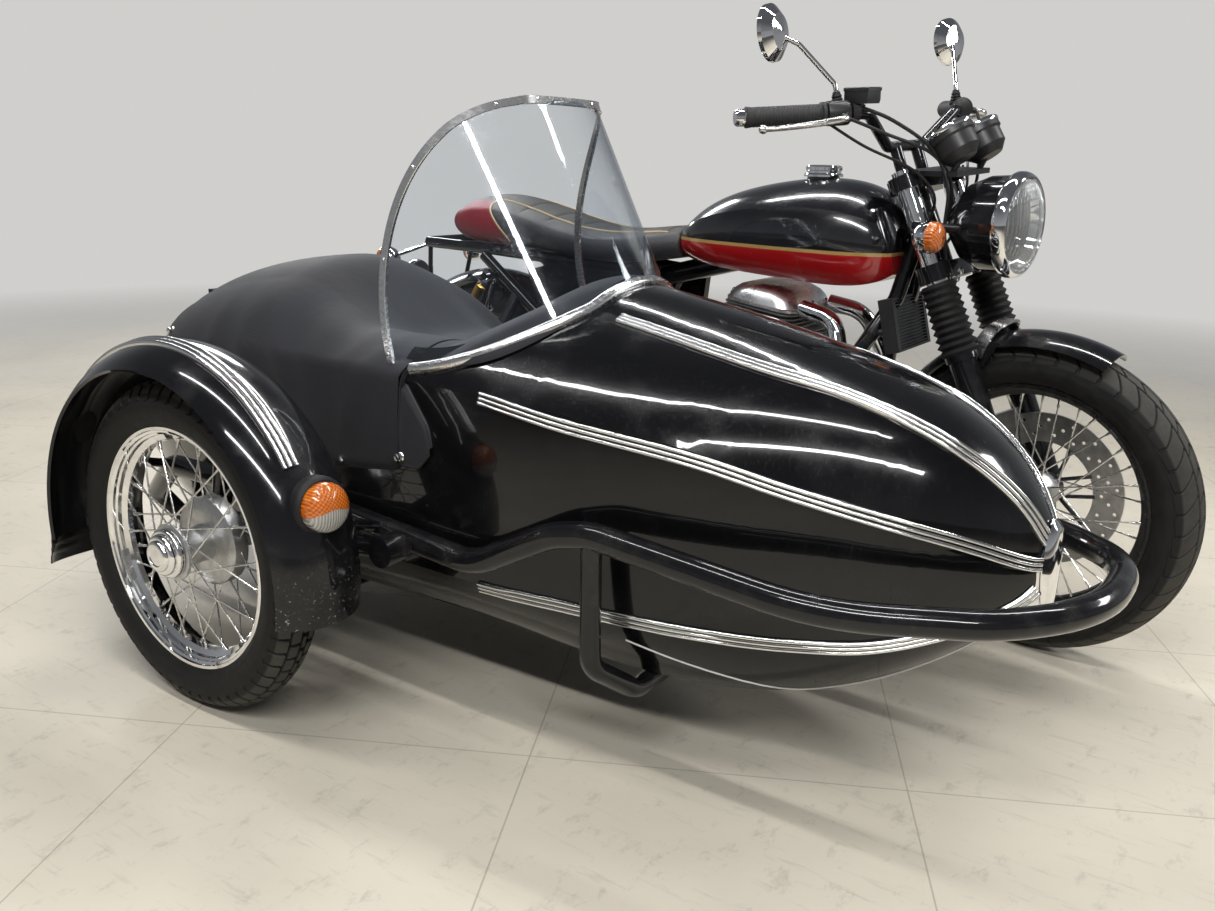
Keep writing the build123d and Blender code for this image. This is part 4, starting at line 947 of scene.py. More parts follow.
# Tyres: black road rubber. The sidecar's has square blocks with deep cross cuts, the motorcycle's have
# shallow slanted grooves, and each sidewall has fine moulded rings.
tread_rubber, spot = finish("tread_rubber", (0.01, 0.01, 0.01), 0.72, 0.0, {"Specular IOR Level": 0.3})
grey = spot.noise(30, 6, 0.7).rise(0.4, 0.75)
(0.6 + grey * 0.22).into("Roughness")
spot.noise(260, 4).raised(0.0003)
worn_face = spot.node("ShaderNodeAttribute", {"attribute_name": "worn_face"}, {}, "Fac")
dusty = worn_face * (0.55 + grey * 0.45)
rubber_tone = grey.tint((0.005, 0.005, 0.0048), (0.013, 0.0125, 0.0115))
dusty.tint(rubber_tone, (0.062, 0.058, 0.05)).into("Base Color")


def tyre_solid(joint_name, sizes, pitches, rows, cuts, depth, slant):
    """A tyre whose crown is cut between the edges in rows, with cross cuts at stations of each pitch."""
    radius, width, rim_radius, rim_width = sizes
    centre = Vector(joints[joint_name]["pos_m"])
    axis, out = compass(Vector(joints[joint_name]["axis"]))
    half, seat, bead = width / 2, rim_width / 2 - 0.003, rim_radius + 0.0003
    crown, tall, shoulder = radius - width * 0.21, radius - bead, half * 0.84
    side = arc_through((-seat, bead), (-half, bead + tall * 0.5), (-shoulder, crown), 16)
    ring_steps = {4: 0.0012, 5: 0.0, 11: -0.0008, 12: 0.0}
    flank_start = 12
    profile = []
    for k, (a, r) in enumerate(side[:-1]):
        profile.append((r, a - ring_steps.get(k, 0.0), (1.0, "flank") if k > flank_start else None))
    crown_radius = (radius - crown) / 2 + shoulder**2 / (2 * (radius - crown))
    edges = sorted(set(edge for row in rows for edge in row[:2]))
    across = []
    for low, high in zip(edges, edges[1:]):
        steps = max(1, round((high - low) / 0.09))
        across += [low + (high - low) * k / steps for k in range(steps)]
    across.append(edges[-1])
    for share in across:
        a = share * shoulder
        kinds = (kind for low, high, kind in rows if low - 1e-6 <= share <= high + 1e-6 and kind)
        mark = (share, next(kinds, 0))
        profile.append((radius - crown_radius + sqrt(crown_radius**2 - a**2), a, mark))
    profile += [(r, -a, k) for r, a, k in reversed(profile[: len(side) - 1])]
    rings, face_wear = [], []
    for cell in range(pitches):
        for station in cuts["stations"]:
            ring = []
            for r, a, mark in profile:
                shift, drop, wear = 0.0, 0.0, 0.0
                if mark:
                    v, kind = mark
                    wear = 0.0 if kind == "flank" else 1.0
                    shift = slant * abs(v)
                    window = cuts["windows"].get("outer" if kind == "flank" else kind)
                    cut = window and window[0] <= station <= window[1]
                    if kind == "flank" and cut:
                        a *= 1 - depth * 0.7 / half
                    elif kind == "groove" or cut:
                        drop, wear = depth, 0.0
                turn = 2 * pi * (cell + station + shift) / pitches
                ring.append(centre + axis * a + out(turn) * (r - 0.0004 - drop))
                face_wear.append(wear)
            rings.append(ring)
    return (*lofted(rings, loop=True), face_wear)


def both_halves(middle, rows):
    """The rows of a whole crown, from its middle row and those of one half."""
    return [(-high, -low, kind) for low, high, kind in reversed(rows)] + [middle] + rows


# Rows of a tread: low edge, high edge and kind, as shares of the half crown.
block_rows = both_halves((-0.08, 0.08, "middle"), [
    (0.08, 0.1, 0), (0.1, 0.18, "groove"), (0.18, 0.2, 0), (0.2, 0.54, "inner"), (0.54, 0.56, 0),
    (0.56, 0.64, "groove"), (0.64, 0.66, 0), (0.66, 1.0, "outer"),
])
block_cuts = {
    "stations": [0, 0.06, 0.22, 0.28, 0.44, 0.5, 0.56, 0.7, 0.76, 0.88],
    "windows": {"outer": (0.06, 0.22), "inner": (0.56, 0.7), "middle": (0.06, 0.22)},
}
road_rows = both_halves((-0.02, 0.02, "groove"), [
    (0.02, 0.04, 0), (0.04, 0.36, "inner"), (0.36, 0.38, 0), (0.38, 0.44, "groove"), (0.44, 0.46, 0),
    (0.46, 1.0, "outer"),
])
road_cuts = {
    "stations": [0, 0.04, 0.12, 0.16, 0.3, 0.45, 0.5, 0.54, 0.62, 0.66, 0.8, 0.9],
    "windows": {"outer": (0.04, 0.12), "inner": (0.54, 0.62)},
}
for wheel, sizes, pitches, rows, cuts, depth, slant in (
    ("sidecar_wheel", (0.293, 0.09, 0.213, 0.066), 58, block_rows, block_cuts, 0.0055, 0.35),
    ("front_wheel", (0.3185, 0.1, 0.236, 0.062), 44, road_rows, road_cuts, 0.004, 1.3),
    ("rear_wheel", (0.3195, 0.13, 0.236, 0.092), 40, road_rows, road_cuts, 0.0045, 1.3),
):
    tyre_name = wheel.replace("wheel", "tyre")
    points, faces, face_wear = tyre_solid(f"{wheel}_spin", sizes, pitches, rows, cuts, depth, slant)
    tread = piece(f"{tyre_name}_tread", (points, faces), tread_rubber, wheel, 35)
    tread.data.attributes.new("worn_face", "FLOAT", "POINT").data.foreach_set("value", face_wear)
    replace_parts(tread, tyre_name)

# Wheels: chromed rim on the sidecar and black ones on the motorcycle, each rolled with a deep well and
# small ridges, laced with straight steel spokes from a cast hub to nipples in dimples.
black_rim, spot = finish("black_rim", (0.012, 0.012, 0.013), 0.22, 0.0, {"Coat Weight": 0.6})
spot.noise(40, 5).rise(0.4, 0.8).wears(0.18, 0.2)
spoke_steel, spot = finish("spoke_steel", (0.72, 0.71, 0.69), 0.25, 1.0)
spot.noise(90, 4).rise(0.45, 0.75).wears(0.2, 0.2, (0.76, 0.75, 0.73), (0.42, 0.4, 0.38))
cast, spot = finish("cast_alloy", (0.55, 0.55, 0.545), 0.36, 0.95)
spot.noise(35, 6, 0.65).rise(0.35, 0.75).wears(0.28, 0.24, (0.62, 0.62, 0.615), (0.36, 0.355, 0.35))
spot.noise(520, 3).raised(0.00018)
disc_steel, spot = finish("disc_steel", (0.5, 0.5, 0.5), 0.3, 1.0)
(0.24 + spot.noise(150, 3) * 0.2).into("Roughness")
spot.noise(60, 3).rise(0.4, 0.7).tint((0.56, 0.56, 0.555), (0.4, 0.39, 0.38)).into("Base Color")


def ring_solid(centre, axis, profile, count):
    """A closed ring of a profile of (radius, along the axis) points turned round the axis."""
    axis, out = compass(axis)
    outs = [out(2 * pi * k / count) for k in range(count)]
    return lofted([[centre + axis * a + out * r for r, a in profile] for out in outs], loop=True)


def rim_profile(radius, width):
    """A rolled rim's section: beads, ridged flanks and a deep well, with a wall of 2.5 mm."""
    half = width / 2
    outer = [
        (radius + 0.0035, half - 0.0015), (radius + 0.004, half - 0.004), (radius + 0.0005, half - 0.0065),
        (radius - 0.004, half - 0.008), (radius - 0.006, half - 0.014), (radius - 0.012, half * 0.42),
        (radius - 0.021, half * 0.3), (radius - 0.0225, 0.0),
    ]
    inner = [
        (radius + 0.001, half + 0.001), (radius - 0.004, half + 0.0004), (radius - 0.0055, half - 0.0025),
        (radius - 0.0095, half - 0.0045), (radius - 0.0102, half - 0.009), (radius - 0.0138, half - 0.0115),
        (radius - 0.0145, half * 0.45), (radius - 0.0238, half * 0.27), (radius - 0.0262, 0.0),
    ]
    ring = outer + [(r, -a) for r, a in outer[-2::-1]]
    return ring + [(r, -a) for r, a in inner] + [(r, a) for r, a in inner[-2::-1]]


def wire_wheel(name, radius, width, hub, spokes, rim_finish):
    """Rim, spokes with nipples, and flanged hub; hub is (flange radius, half width, core radius)."""
    joint = joints[f"{name}_spin"]
    centre = Vector(joint["pos_m"])
    axis, out = compass(Vector(joint["axis"]))
    flange, half_hub, core = hub
    rim_ring = ring_solid(centre, axis, rim_profile(radius, width), 160)
    rim = piece(f"{name}_rim", rim_ring, rim_finish, name, 30)
    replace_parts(rim, name)
    nipple = mm((2.2, -16), (2.8, -12), (2.8, -4), (4.2, -1), (4.2, 1))
    wires, nipples = [], []
    for i in range(spokes):
        aside = axis * (1 if i % 2 else -1)
        lean = radians(50 if i % 4 < 2 else -50)
        turn = 2 * pi * (i + 0.5) / spokes
        hub_end = centre + aside * (half_hub - 0.005) + out(turn + lean) * (flange - 0.005)
        rim_end = centre + aside * 0.006 + out(turn) * (radius - 0.024)
        run = (rim_end - hub_end).normalized()
        bend = [hub_end + aside * 0.003, hub_end - aside * 0.001, hub_end + run * 0.004, rim_end]
        wires.append(round_bar(bend, 0.0017, 7))
        nipples.append(turned(rim_end, run, nipple, 8))
    piece(f"{name}_spokes", joined(*wires, *nipples), spoke_steel, name, 50)
    hub_profile = [
        (0.0108, half_hub + 0.004), (core * 0.62, half_hub + 0.004), (core * 0.66, half_hub + 0.001),
        (flange - 0.009, half_hub), (flange, half_hub - 0.002), (flange, half_hub - 0.007),
        (flange - 0.006, half_hub - 0.009), (core, half_hub - 0.018), (core * 0.86, 0.0),
    ]
    hub_ring = hub_profile + [(r, -a) for r, a in hub_profile[-2::-1]]
    piece(f"{name}_hub", ring_solid(centre, axis, hub_ring, 56), cast, name, 35)
    return centre, axis, out


def box(middle, fore, aside, up):
    """A box about its middle, from its three half sides."""
    signs = (-1, 1)
    points = [middle + fore * a + aside * b + up * c for a in signs for b in signs for c in signs]
    return points, [(0, 1, 3, 2), (4, 6, 7, 5), (0, 4, 5, 1), (2, 3, 7, 6), (0, 2, 6, 4), (1, 5, 7, 3)]


hub_centre, hub_axis, hub_out = wire_wheel("sidecar_wheel", 0.213, 0.066, (0.05, 0.05, 0.036), 40, chrome)
drum = mm((10.8, 54), (70, 54), (77, 50), (79, 44), (79, 22), (74, 18), (50, 16), (10.8, 16))
piece("sidecar_drum", ring_solid(hub_centre, hub_axis, drum, 64), cast, "sidecar_wheel", 35)
step_cap = mm(
    (43, 0), (43, 7), (42, 9.5), (39, 11), (36.5, 10.8), (36, 14.5), (35, 18), (32.5, 20.5), (29.5, 21.2),
    (27.5, 20.8), (26.8, 24.5), (24.5, 27), (21, 28.1), (17.5, 27.8), (16.5, 26.2), (15.5, 25.8),
    (11, 26.8), (6, 27.4), (0.5, 27.6),
)
cap_solid = turned(hub_centre - hub_axis * 0.051, -hub_axis, step_cap, 48)
piece("sidecar_hub_cap", cap_solid, chrome, "sidecar_wheel", 50)
weights = []
for k in range(5):
    out = hub_out(radians(196 + 3.4 * k))
    along = hub_axis.cross(out)
    middle = hub_centre + out * 0.1975 - hub_axis * 0.0165
    weights.append(box(middle, along * 0.0052, hub_axis * 0.0085, out * 0.0018))
piece("balance_weights", joined(*weights), cast, "sidecar_wheel", 30)

front_hub = wire_wheel("front_wheel", 0.236, 0.062, (0.04, 0.052, 0.026), 36, black_rim)
rear_hub = wire_wheel("rear_wheel", 0.236, 0.092, (0.052, 0.058, 0.036), 36, black_rim)


def drilled_disc(hub, offset, outer, inner, rings, holes):
    """A brake disc as two faces with rings of round holes, and the walls of the holes and rims."""
    centre, axis, out = hub
    hole_radius, thickness = 0.0036, 0.004
    shaper = bmesh.new()
    loops = [(outer, 0.0, 0.0, 120), (inner, 0.0, 0.0, 60)]
    for ring, share in enumerate(rings):
        for k in range(holes):
            turn = 2 * pi * (k + ring / len(rings)) / holes
            loops.append((hole_radius, share * cos(turn), share * sin(turn), 10))
    edges = []
    for size, u, v, count in loops:
        ring_points = []
        for k in range(count):
            turn = 2 * pi * k / count
            ring_points.append(shaper.verts.new((u + size * cos(turn), v + size * sin(turn), 0)))
        edges += [shaper.edges.new((a, b)) for a, b in zip(ring_points, ring_points[1:] + ring_points[:1])]
    bmesh.ops.triangle_fill(shaper, use_beauty=True, edges=edges, normal=(0, 0, 1))
    sheet = bmesh.ops.extrude_face_region(shaper, geom=list(shaper.faces))
    lifted = [part for part in sheet["geom"] if isinstance(part, bmesh.types.BMVert)]
    bmesh.ops.translate(shaper, verts=lifted, vec=(0, 0, thickness))
    shaper.verts.index_update()
    level, other = out(0), out(pi / 2)
    points = [centre + axis * (offset + v.co.z) + level * v.co.x + other * v.co.y for v in shaper.verts]
    faces = [tuple(v.index for v in face.verts) for face in shaper.faces]
    shaper.free()
    return points, faces


disc = drilled_disc(front_hub, 0.0605, 0.1595, 0.1, (0.116, 0.131, 0.146), 18)
piece("front_disc", disc, disc_steel, "front_wheel", 30)
hub_centre, hub_axis, hub_out = front_hub
arms = []
for k in range(6):
    turn = 2 * pi * k / 6
    for lean in (-0.32, 0.32):
        start = hub_centre + hub_axis * 0.06 + hub_out(turn) * 0.034
        end = hub_centre + hub_axis * 0.0615 + hub_out(turn + lean) * 0.104
        arms.append(round_bar([start, end], 0.0042, 8))
collar = mm((10.8, 52), (38, 52), (38, 65), (10.8, 65))
arms.append(ring_solid(hub_centre, hub_axis, collar, 40))
piece("front_disc_carrier", joined(*arms), black_rim, "front_wheel", 40)
disc = drilled_disc(rear_hub, -0.074, 0.1195, 0.07, (0.085, 0.097, 0.109), 14)
piece("rear_disc", disc, disc_steel, "rear_wheel", 30)
hub_centre, hub_axis, hub_out = rear_hub
collar = mm((10.8, -58), (74, -66), (74, -73), (10.8, -73.8))
carrier = ring_solid(hub_centre, hub_axis, collar, 48)
piece("rear_disc_carrier", carrier, black_rim, "rear_wheel", 40)
teeth, tooth_tip, tooth_deep = 42, 0.082, 0.0035
sprocket_sides = []
for a in (0.089, 0.095):
    line = []
    for k in range(teeth * 2):
        r = tooth_tip - (tooth_deep if k % 2 else 0.0)
        line.append(hub_centre + hub_axis * a + hub_out(pi * k / teeth) * r)
    sprocket_sides.append(line)
collar = mm((10.8, 58), (44, 58), (44, 89), (10.8, 89))
sprocket = joined(lofted(sprocket_sides), ring_solid(hub_centre, hub_axis, collar, 40))
piece("rear_sprocket", sprocket, disc_steel, "rear_wheel", 30)

# Fuel tank: seam-welded steel, gloss black above a gold line and a red lower band, under clear lacquer.
# Its filler cap is chromed, with a ring of ridges for the hand.
lacquer = {"Coat Weight": 1.0, "Coat Roughness": 0.03}
tank_paint, spot = finish("tank_lacquer", (0.01, 0.01, 0.013), 0.25, 0.0, lacquer)
x, y, z = spot.axes()
height = z + (x - (rear_foot.x + 0.87)) * 0.012
red_part = (0.7805 - height).rise(0.0, 0.0006)
gold_part = (0.7875 - height).rise(0.0, 0.0006)
fine = spot.noise(12, 5).rise(0.45, 0.8)
black = (fine * 0.4).tint((0.006, 0.006, 0.008), (0.016, 0.016, 0.019))
gold = gold_part.tint(black, (0.42, 0.27, 0.09))
red_part.tint(gold, (0.36, 0.008, 0.01)).into("Base Color")
(0.16 + fine * 0.16).into("Roughness")
spot.noise(7, 1).raised(0.0006)
dress(tank_paint, "fuel_tank")
cap_profile = mm(
    (41, -12), (41, -8), (38.5, -5), (36, -4.5), (36, 0), (37, 1), (37, 8.5), (35.5, 10.5), (30, 11.5),
    (18, 12), (0.5, 12.2),
)
cap_foot, ridges = at(0.9, 0, 0.9395), 28
cap_parts = [turned(cap_foot, upward, cap_profile, 64)]
for k in range(ridges):
    turn = 2 * pi * k / ridges
    foot = cap_foot + Vector((cos(turn), sin(turn), 0)) * 0.0368
    cap_parts.append(round_bar([foot + upward * 0.0012, foot + upward * 0.0082], 0.0012, 6))
piece("tank_cap", joined(*cap_parts), chrome, sharp=35)

# Seat: foam under grained dark vinyl, its rear quarter in dark red with a gold piping between. Stitched
# seams cross the rider's part.
vinyl, spot = finish("seat_vinyl", (0.03, 0.028, 0.03), 0.5)
x, y, z = spot.axes()
front_edge = rear_foot.x + 0.134 - (z - 0.762).rise(0.0, 0.095) * 0.089
side_part = (0.846 - z).rise(0.0, 0.0015)
red_share = (front_edge - x).rise(0.0, 0.0015) * side_part
grain = spot.noise(420, 2).rise(0.3, 0.7)
rubbed = spot.noise(14, 4).rise(0.4, 0.75)
# Painted sheen: the seat's top, most along its middle, is drawn lighter and browner than its sides.
top_sheen = (z - 0.79 + abs(y - rear_foot.y) * -0.25).rise(-0.03, 0.02)
plain = top_sheen.tint((0.02, 0.02, 0.023), (0.052, 0.047, 0.041))
plain = (rubbed * 0.5).tint(plain, (0.07, 0.066, 0.06))
red_share.tint(plain, (0.23, 0.014, 0.022)).into("Base Color")
(0.42 + grain * 0.12 - rubbed * 0.06).into("Roughness")
(grain * 0.7 + spot.noise(150, 2) * 0.3).raised(0.0007)
seat_mesh = frame["nodes"]["seat"].data.copy()
seat_cushion = bpy.data.objects.new("seat_cushion", seat_mesh)
bpy.context.scene.collection.objects.link(seat_cushion)
seat_mesh.materials.clear()
seat_mesh.materials.append(vinyl)
voxels = seat_cushion.modifiers.new("voxels", "REMESH")
voxels.mode, voxels.voxel_size = "VOXEL", 0.006
smoother = seat_cushion.modifiers.new("smoother", "SMOOTH")
smoother.iterations = 6
crown = seat_cushion.modifiers.new("crown", "SUBSURF")
crown.levels = crown.render_levels = 1
depsgraph = bpy.context.evaluated_depsgraph_get()
shaped = bpy.data.meshes.new_from_object(seat_cushion.evaluated_get(depsgraph))
seat_cushion.modifiers.clear()
seat_cushion.data = shaped
shaped.materials.clear()
shaped.materials.append(vinyl)
shaped.shade_smooth()
seams, seam_half, seam_deep = (0.16, 0.24, 0.32, 0.4, 0.48, 0.56), 0.0045, 0.0032
for vertex in shaped.vertices:
    local = vertex.co - rear_foot
    groove = sum(exp(-(((local.x - seam) / seam_half) ** 2)) for seam in seams)
    top = max(0.0, min(1.0, (local.z - 0.79) / 0.02))
    rim = max(0.0, min(1.0, (0.11 - abs(local.y)) / 0.02))
    vertex.co.z -= seam_deep * groove * top * rim
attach(seat_cushion, "root")
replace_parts(seat_cushion, "seat")
seat_faces = [tuple(face.vertices) for face in shaped.polygons]
seat_skin = BVHTree.FromPolygons([v.co for v in shaped.vertices], seat_faces)


def seat_piping(side):
    """The piping's line from the side's lower edge, round the red quarter and along the shoulder."""
    line = []
    for k in range(16):
        z = 0.752 + 0.092 * k / 15
        back = 0.134 - 0.089 * max(0.0, min(1.0, (z - 0.762) / 0.095))
        line.append(seat_skin.ray_cast(at(back, side * 0.3, z), leftward * -side)[0])
    for k in range(34):
        crest = seat_skin.ray_cast(at(0.062 + 0.5 * k / 33, 0, 1), -upward)[0]
        start = crest + Vector((0, side * 0.3, 0.12))
        line.append(seat_skin.ray_cast(start, (crest + upward * -0.05 - start).normalized())[0])
    line = smoothed([place for place in line if place], 2)
    return round_bar(curve_through(line, 0.006), 0.0026, 8)


gold_vinyl, spot = finish("gold_piping", (0.5, 0.37, 0.2), 0.45)
spot.noise(90, 3).tint((0.56, 0.42, 0.23), (0.4, 0.29, 0.15)).into("Base Color")
piece("seat_piping", joined(seat_piping(-1), seat_piping(1)), gold_vinyl, "root", 50)

# Engine: satin cast cases, a finned block with a machined edge on every fin, and a polished rocker cover
# with domed nuts. The block leans a little forward.
dress(cast, "engine_case", "brake_caliper")


def leaning(angle):
    """The forward and upward directions of a part that leans that many degrees forward."""
    turn = radians(angle)
    return Vector((cos(turn), 0, -sin(turn))), Vector((sin(turn), 0, cos(turn)))


block_fore, block_up = leaning(8)


def on_block(fore, aside, up):
    """A place on the leaning block, from the middle of its foot."""
    return at(0.79, aside, 0.47) + block_fore * fore + block_up * up


def layers(outlines):
    """A solid through level outlines of (half length, half width, height, corner radius) on the block."""
    corners = 40
    rings = []
    for half_x, half_y, height, corner in outlines:
        ring = []
        for k in range(corners):
            turn = 2 * pi * (k + 0.5) / corners
            x = (half_x - corner) * (1 if cos(turn) > 0 else -1) + corner * cos(turn)
            y = (half_y - corner) * (1 if sin(turn) > 0 else -1) + corner * sin(turn)
            ring.append(on_block(x, y, height))
        rings.append(ring)
    return lofted(rings)


def fin(height, half_x, half_y):
    """One cooling fin with a bevelled edge, as wide as that all round."""
    rows = [(-0.001, -0.0014), (0, -0.0008), (0, 0.0008), (-0.001, 0.0014)]
    return layers([(half_x + inset, half_y + inset, height + rise, 0.03) for inset, rise in rows])


barrels = [layers([(0.075, 0.095, -0.008, 0.03), (0.075, 0.095, 0.15, 0.03)])]
barrels += [fin(0.008 + 0.0085 * k, 0.098, 0.123) for k in range(17)]
head = [layers([(0.072, 0.1, 0.149, 0.03), (0.072, 0.1, 0.192, 0.03)])]
head += [fin(0.156 + 0.009 * k, 0.086 - 0.001 * k, 0.12) for k in range(4)]
rocker_rows = [
    (0.086, 0.118, 0.188), (0.086, 0.118, 0.193), (0.083, 0.115, 0.195), (0.08, 0.113, 0.203),
    (0.074, 0.11, 0.213), (0.064, 0.104, 0.222), (0.048, 0.094, 0.229), (0.026, 0.078, 0.2325),
    (0.022, 0.07, 0.233),
]
rocker_top = layers([(long, wide, high, min(long, 0.045) - 0.001) for long, wide, high in rocker_rows])
domed_nut = mm((8.5, 0), (8.5, 6), (6, 8.5), (5.8, 12), (3.5, 15.5), (0.5, 16.5))
nut_places = [on_block(x, y, 0.192) for x in (-0.079, 0.079) for y in (-0.07, 0, 0.07)]
nuts = [turned(place, block_up, domed_nut, 12) for place in nut_places]
cast_block, spot = finish("cast_block", (0.2, 0.2, 0.2), 0.5, 0.85)
soot = spot.noise(26, 5, 0.6).rise(0.35, 0.75)
soot.wears(0.42, 0.2, (0.24, 0.24, 0.235), (0.1, 0.098, 0.095))
block = piece("finned_block", joined(*barrels, *head), cast_block, "root", 40)
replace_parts(block, "engine_top")
cover_polish, spot = finish("polished_cover", (0.78, 0.78, 0.77), 0.3, 1.0)
spot.noise(22, 5, 0.6).rise(0.4, 0.8).wears(0.26, 0.16)
piece("rocker_cover", rocker_top, cover_polish, sharp=28)
piece("rocker_nuts", joined(*nuts), chrome, sharp=40)

# Running gear: pipes, fork tubes, mirrors and rear springs in bright chrome, with rubber boots and pegs.
# The gauges' pods are of a satin black plastic.
dress(chrome, "exhausts", "fork_tubes", "mirrors", "rear_shocks")
dress(rubber, "fork_gaiters", "footrests")
satin_black, spot = finish("satin_black", (0.014, 0.014, 0.015), 0.42)
spot.noise(30, 4).rise(0.4, 0.8).wears(0.34, 0.18)
dress(satin_black, "gauges")

# Drive chain: rollers on pins between paired side plates, 15.9 mm apart, run round both sprockets. It is
# of oiled steel, dull where the oil has caught dust.
oiled_steel, spot = finish("oiled_steel", (0.2, 0.19, 0.17), 0.38, 1.0)
oil = spot.noise(60, 5, 0.65).rise(0.35, 0.7)
oil.wears(0.3, 0.25, (0.3, 0.28, 0.25), (0.08, 0.07, 0.06))
chain_rear, chain_front = at(0, 0.092, 0.3195), at(0.5, 0.092, 0.345)
big, small, pitch = 0.088, 0.036, 0.015875
between = chain_front - chain_rear
tilt = atan2(between.z, between.x)
hold = acos((big - small) / between.length)
straight = sqrt(between.length**2 - (big - small) ** 2)
spans = [straight, 2 * small * hold, straight, 2 * big * (pi - hold)]


def sprocket_edge_place(centre, radius, turn):
    return centre + Vector((cos(turn), 0, sin(turn))) * radius


def along_chain(run):
    """The pin line's place that far along the loop: over the top, round the front, back, round the rear."""
    run %= sum(spans)
    top, low = tilt + hold, tilt - hold
    if run < spans[0]:
        start, end = sprocket_edge_place(chain_rear, big, top), sprocket_edge_place(chain_front, small, top)
        return start.lerp(end, run / spans[0])
    run -= spans[0]
    if run < spans[1]:
        return sprocket_edge_place(chain_front, small, top - run / small)
    run -= spans[1]
    if run < spans[2]:
        start, end = sprocket_edge_place(chain_front, small, low), sprocket_edge_place(chain_rear, big, low)
        return start.lerp(end, run / spans[2])
    return sprocket_edge_place(chain_rear, big, low - (run - spans[2]) / big)


def side_plate(a, b, low, high):
    """A chain's side plate round two pins, between two offsets across the chain."""
    lean = atan2(b.z - a.z, b.x - a.x)
    rings = []
    for offset in (low, high):
        ring = []
        for k in range(12):
            turn = lean + pi / 2 + pi * (k if k < 6 else k - 1) / 5
            ring.append((a if k < 6 else b) + Vector((cos(turn) * 0.0066, offset, sin(turn) * 0.0066)))
        rings.append(ring)
    return lofted(rings)


links = 2 * round(sum(spans) / pitch / 2)
pins = [along_chain(sum(spans) * k / links) for k in range(links)]
plate_half = 0.0006
chain_parts = []
for k, pin in enumerate(pins):
    after = pins[(k + 1) % links]
    inner_or_outer = 0.0046 if k % 2 else 0.0062
    for middle in (inner_or_outer, -inner_or_outer):
        chain_parts.append(side_plate(pin, after, middle - plate_half, middle + plate_half))
    chain_parts.append(turned(pin - leftward * 0.0036, leftward, [(0.0049, 0), (0.0049, 0.0072)], 10))
    chain_parts.append(turned(pin - leftward * 0.0073, leftward, [(0.0024, 0), (0.0024, 0.0146)], 8))
chain_links = piece("chain_links", joined(*chain_parts), oiled_steel, "root", 40)
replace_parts(chain_links, "drive_chain")

# Engine covers: polished domed covers on the cast cases, each held by a ring of socket screws. Two are
# on the crankcase's ends, one is on the clutch side and one over the front sprocket.
cover_shares = [
    (0.985, -0.002), (0.985, 0.0025), (0.95, 0.0045), (0.8, 0.005), (0.76, 0.0075), (0.45, 0.0105),
    (0.01, 0.0115),
]
socket_head = mm((5.2, 0), (5.2, 4.2), (4.7, 4.8), (3, 4.8), (3, 1.8), (0.3, 1.8))
covers, cover_screws = [], []
for place, side, radius, count in (
    ((0.83, 0.151, 0.34), 1, 0.098, 8), ((0.83, -0.151, 0.34), -1, 0.098, 8),
    ((0.61, -0.138, 0.35), -1, 0.112, 10), ((0.53, 0.127, 0.345), 1, 0.062, 5),
):
    outward = leftward * side
    covers.append(turned(at(*place), outward, [(radius * share, high) for share, high in cover_shares], 64))
    for k in range(count):
        turn = 2 * pi * (k + 0.5) / count
        rim_place = at(*place) + Vector((cos(turn), 0, sin(turn))) * radius * 0.88
        cover_screws.append(turned(rim_place + outward * 0.0042, outward, socket_head, 12))
piece("engine_covers", joined(*covers), cover_polish, "root", 30)
piece("engine_cover_screws", joined(*cover_screws), chrome, sharp=30)

# Tail: a round red lamp with a chromed rim on a black pressed bracket, which also takes a plate. Beside
# it the gold-anodised cans of the rear shocks stand in their clamps.
tail_red, spot = finish("tail_red", (0.42, 0.006, 0.006), 0.12, 0.0, {"Coat Weight": 1.0})
y, z = spot.axes()[1:]
((((y - rear_foot.y) * 900).sine() * (z * 900).sine()) * 0.5 + 0.5).raised(0.0008)
behind = Vector((-0.99, 0, -0.135)).normalized()
tail_rim = mm((30, 4), (36, 4), (38, 10), (38, 24), (35.5, 28), (33, 26), (33, 6))
tail_glass = mm((32.5, 24), (32.5, 32), (29, 38), (20, 42), (8, 43.5), (0.5, 43.7))
tail_foot = at(-0.284, 0, 0.636)
rim = piece("tail_rim", ring_solid(tail_foot, behind, tail_rim, 48), chrome, sharp=40)
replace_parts(rim, "tail_lamp")
piece("tail_lens", turned(tail_foot, behind, tail_glass, 48), tail_red, "root", 40)


def box_between(low, high):
    """A level box between two opposite corners."""
    half = (high - low) / 2
    return box(low + half, ahead * half.x, leftward * half.y, upward * half.z)


tail_bracket = joined(
    turned(tail_foot, behind, [(0.0335, -0.001), (0.0345, 0.003), (0.034, 0.008), (0.028, 0.009)], 40),
    box_between(at(-0.289, -0.046, 0.556), at(-0.283, 0.046, 0.65)),
    box_between(at(-0.286, -0.03, 0.6), at(-0.236, 0.03, 0.606)),
    box_between(at(-0.246, -0.025, 0.56), at(-0.238, 0.025, 0.604)),
)
piece("tail_bracket", tail_bracket, satin_black, "root", 35)
gold_can, spot = finish("gold_anodised", (0.62, 0.36, 0.08), 0.3, 1.0)
spot.noise(40, 4).rise(0.4, 0.8).wears(0.24, 0.16)
can_profile = mm((0.5, 0), (15, 0.5), (17.5, 3), (17.5, 46), (15.5, 48), (0.5, 49))
can_up = Vector((0.52, 0, 0.85)).normalized()
cans = [turned(at(0.062, side * 0.163, 0.604), can_up, can_profile, 28) for side in (-1, 1)]
piece("shock_reservoirs", joined(*cans), gold_can, sharp=35)

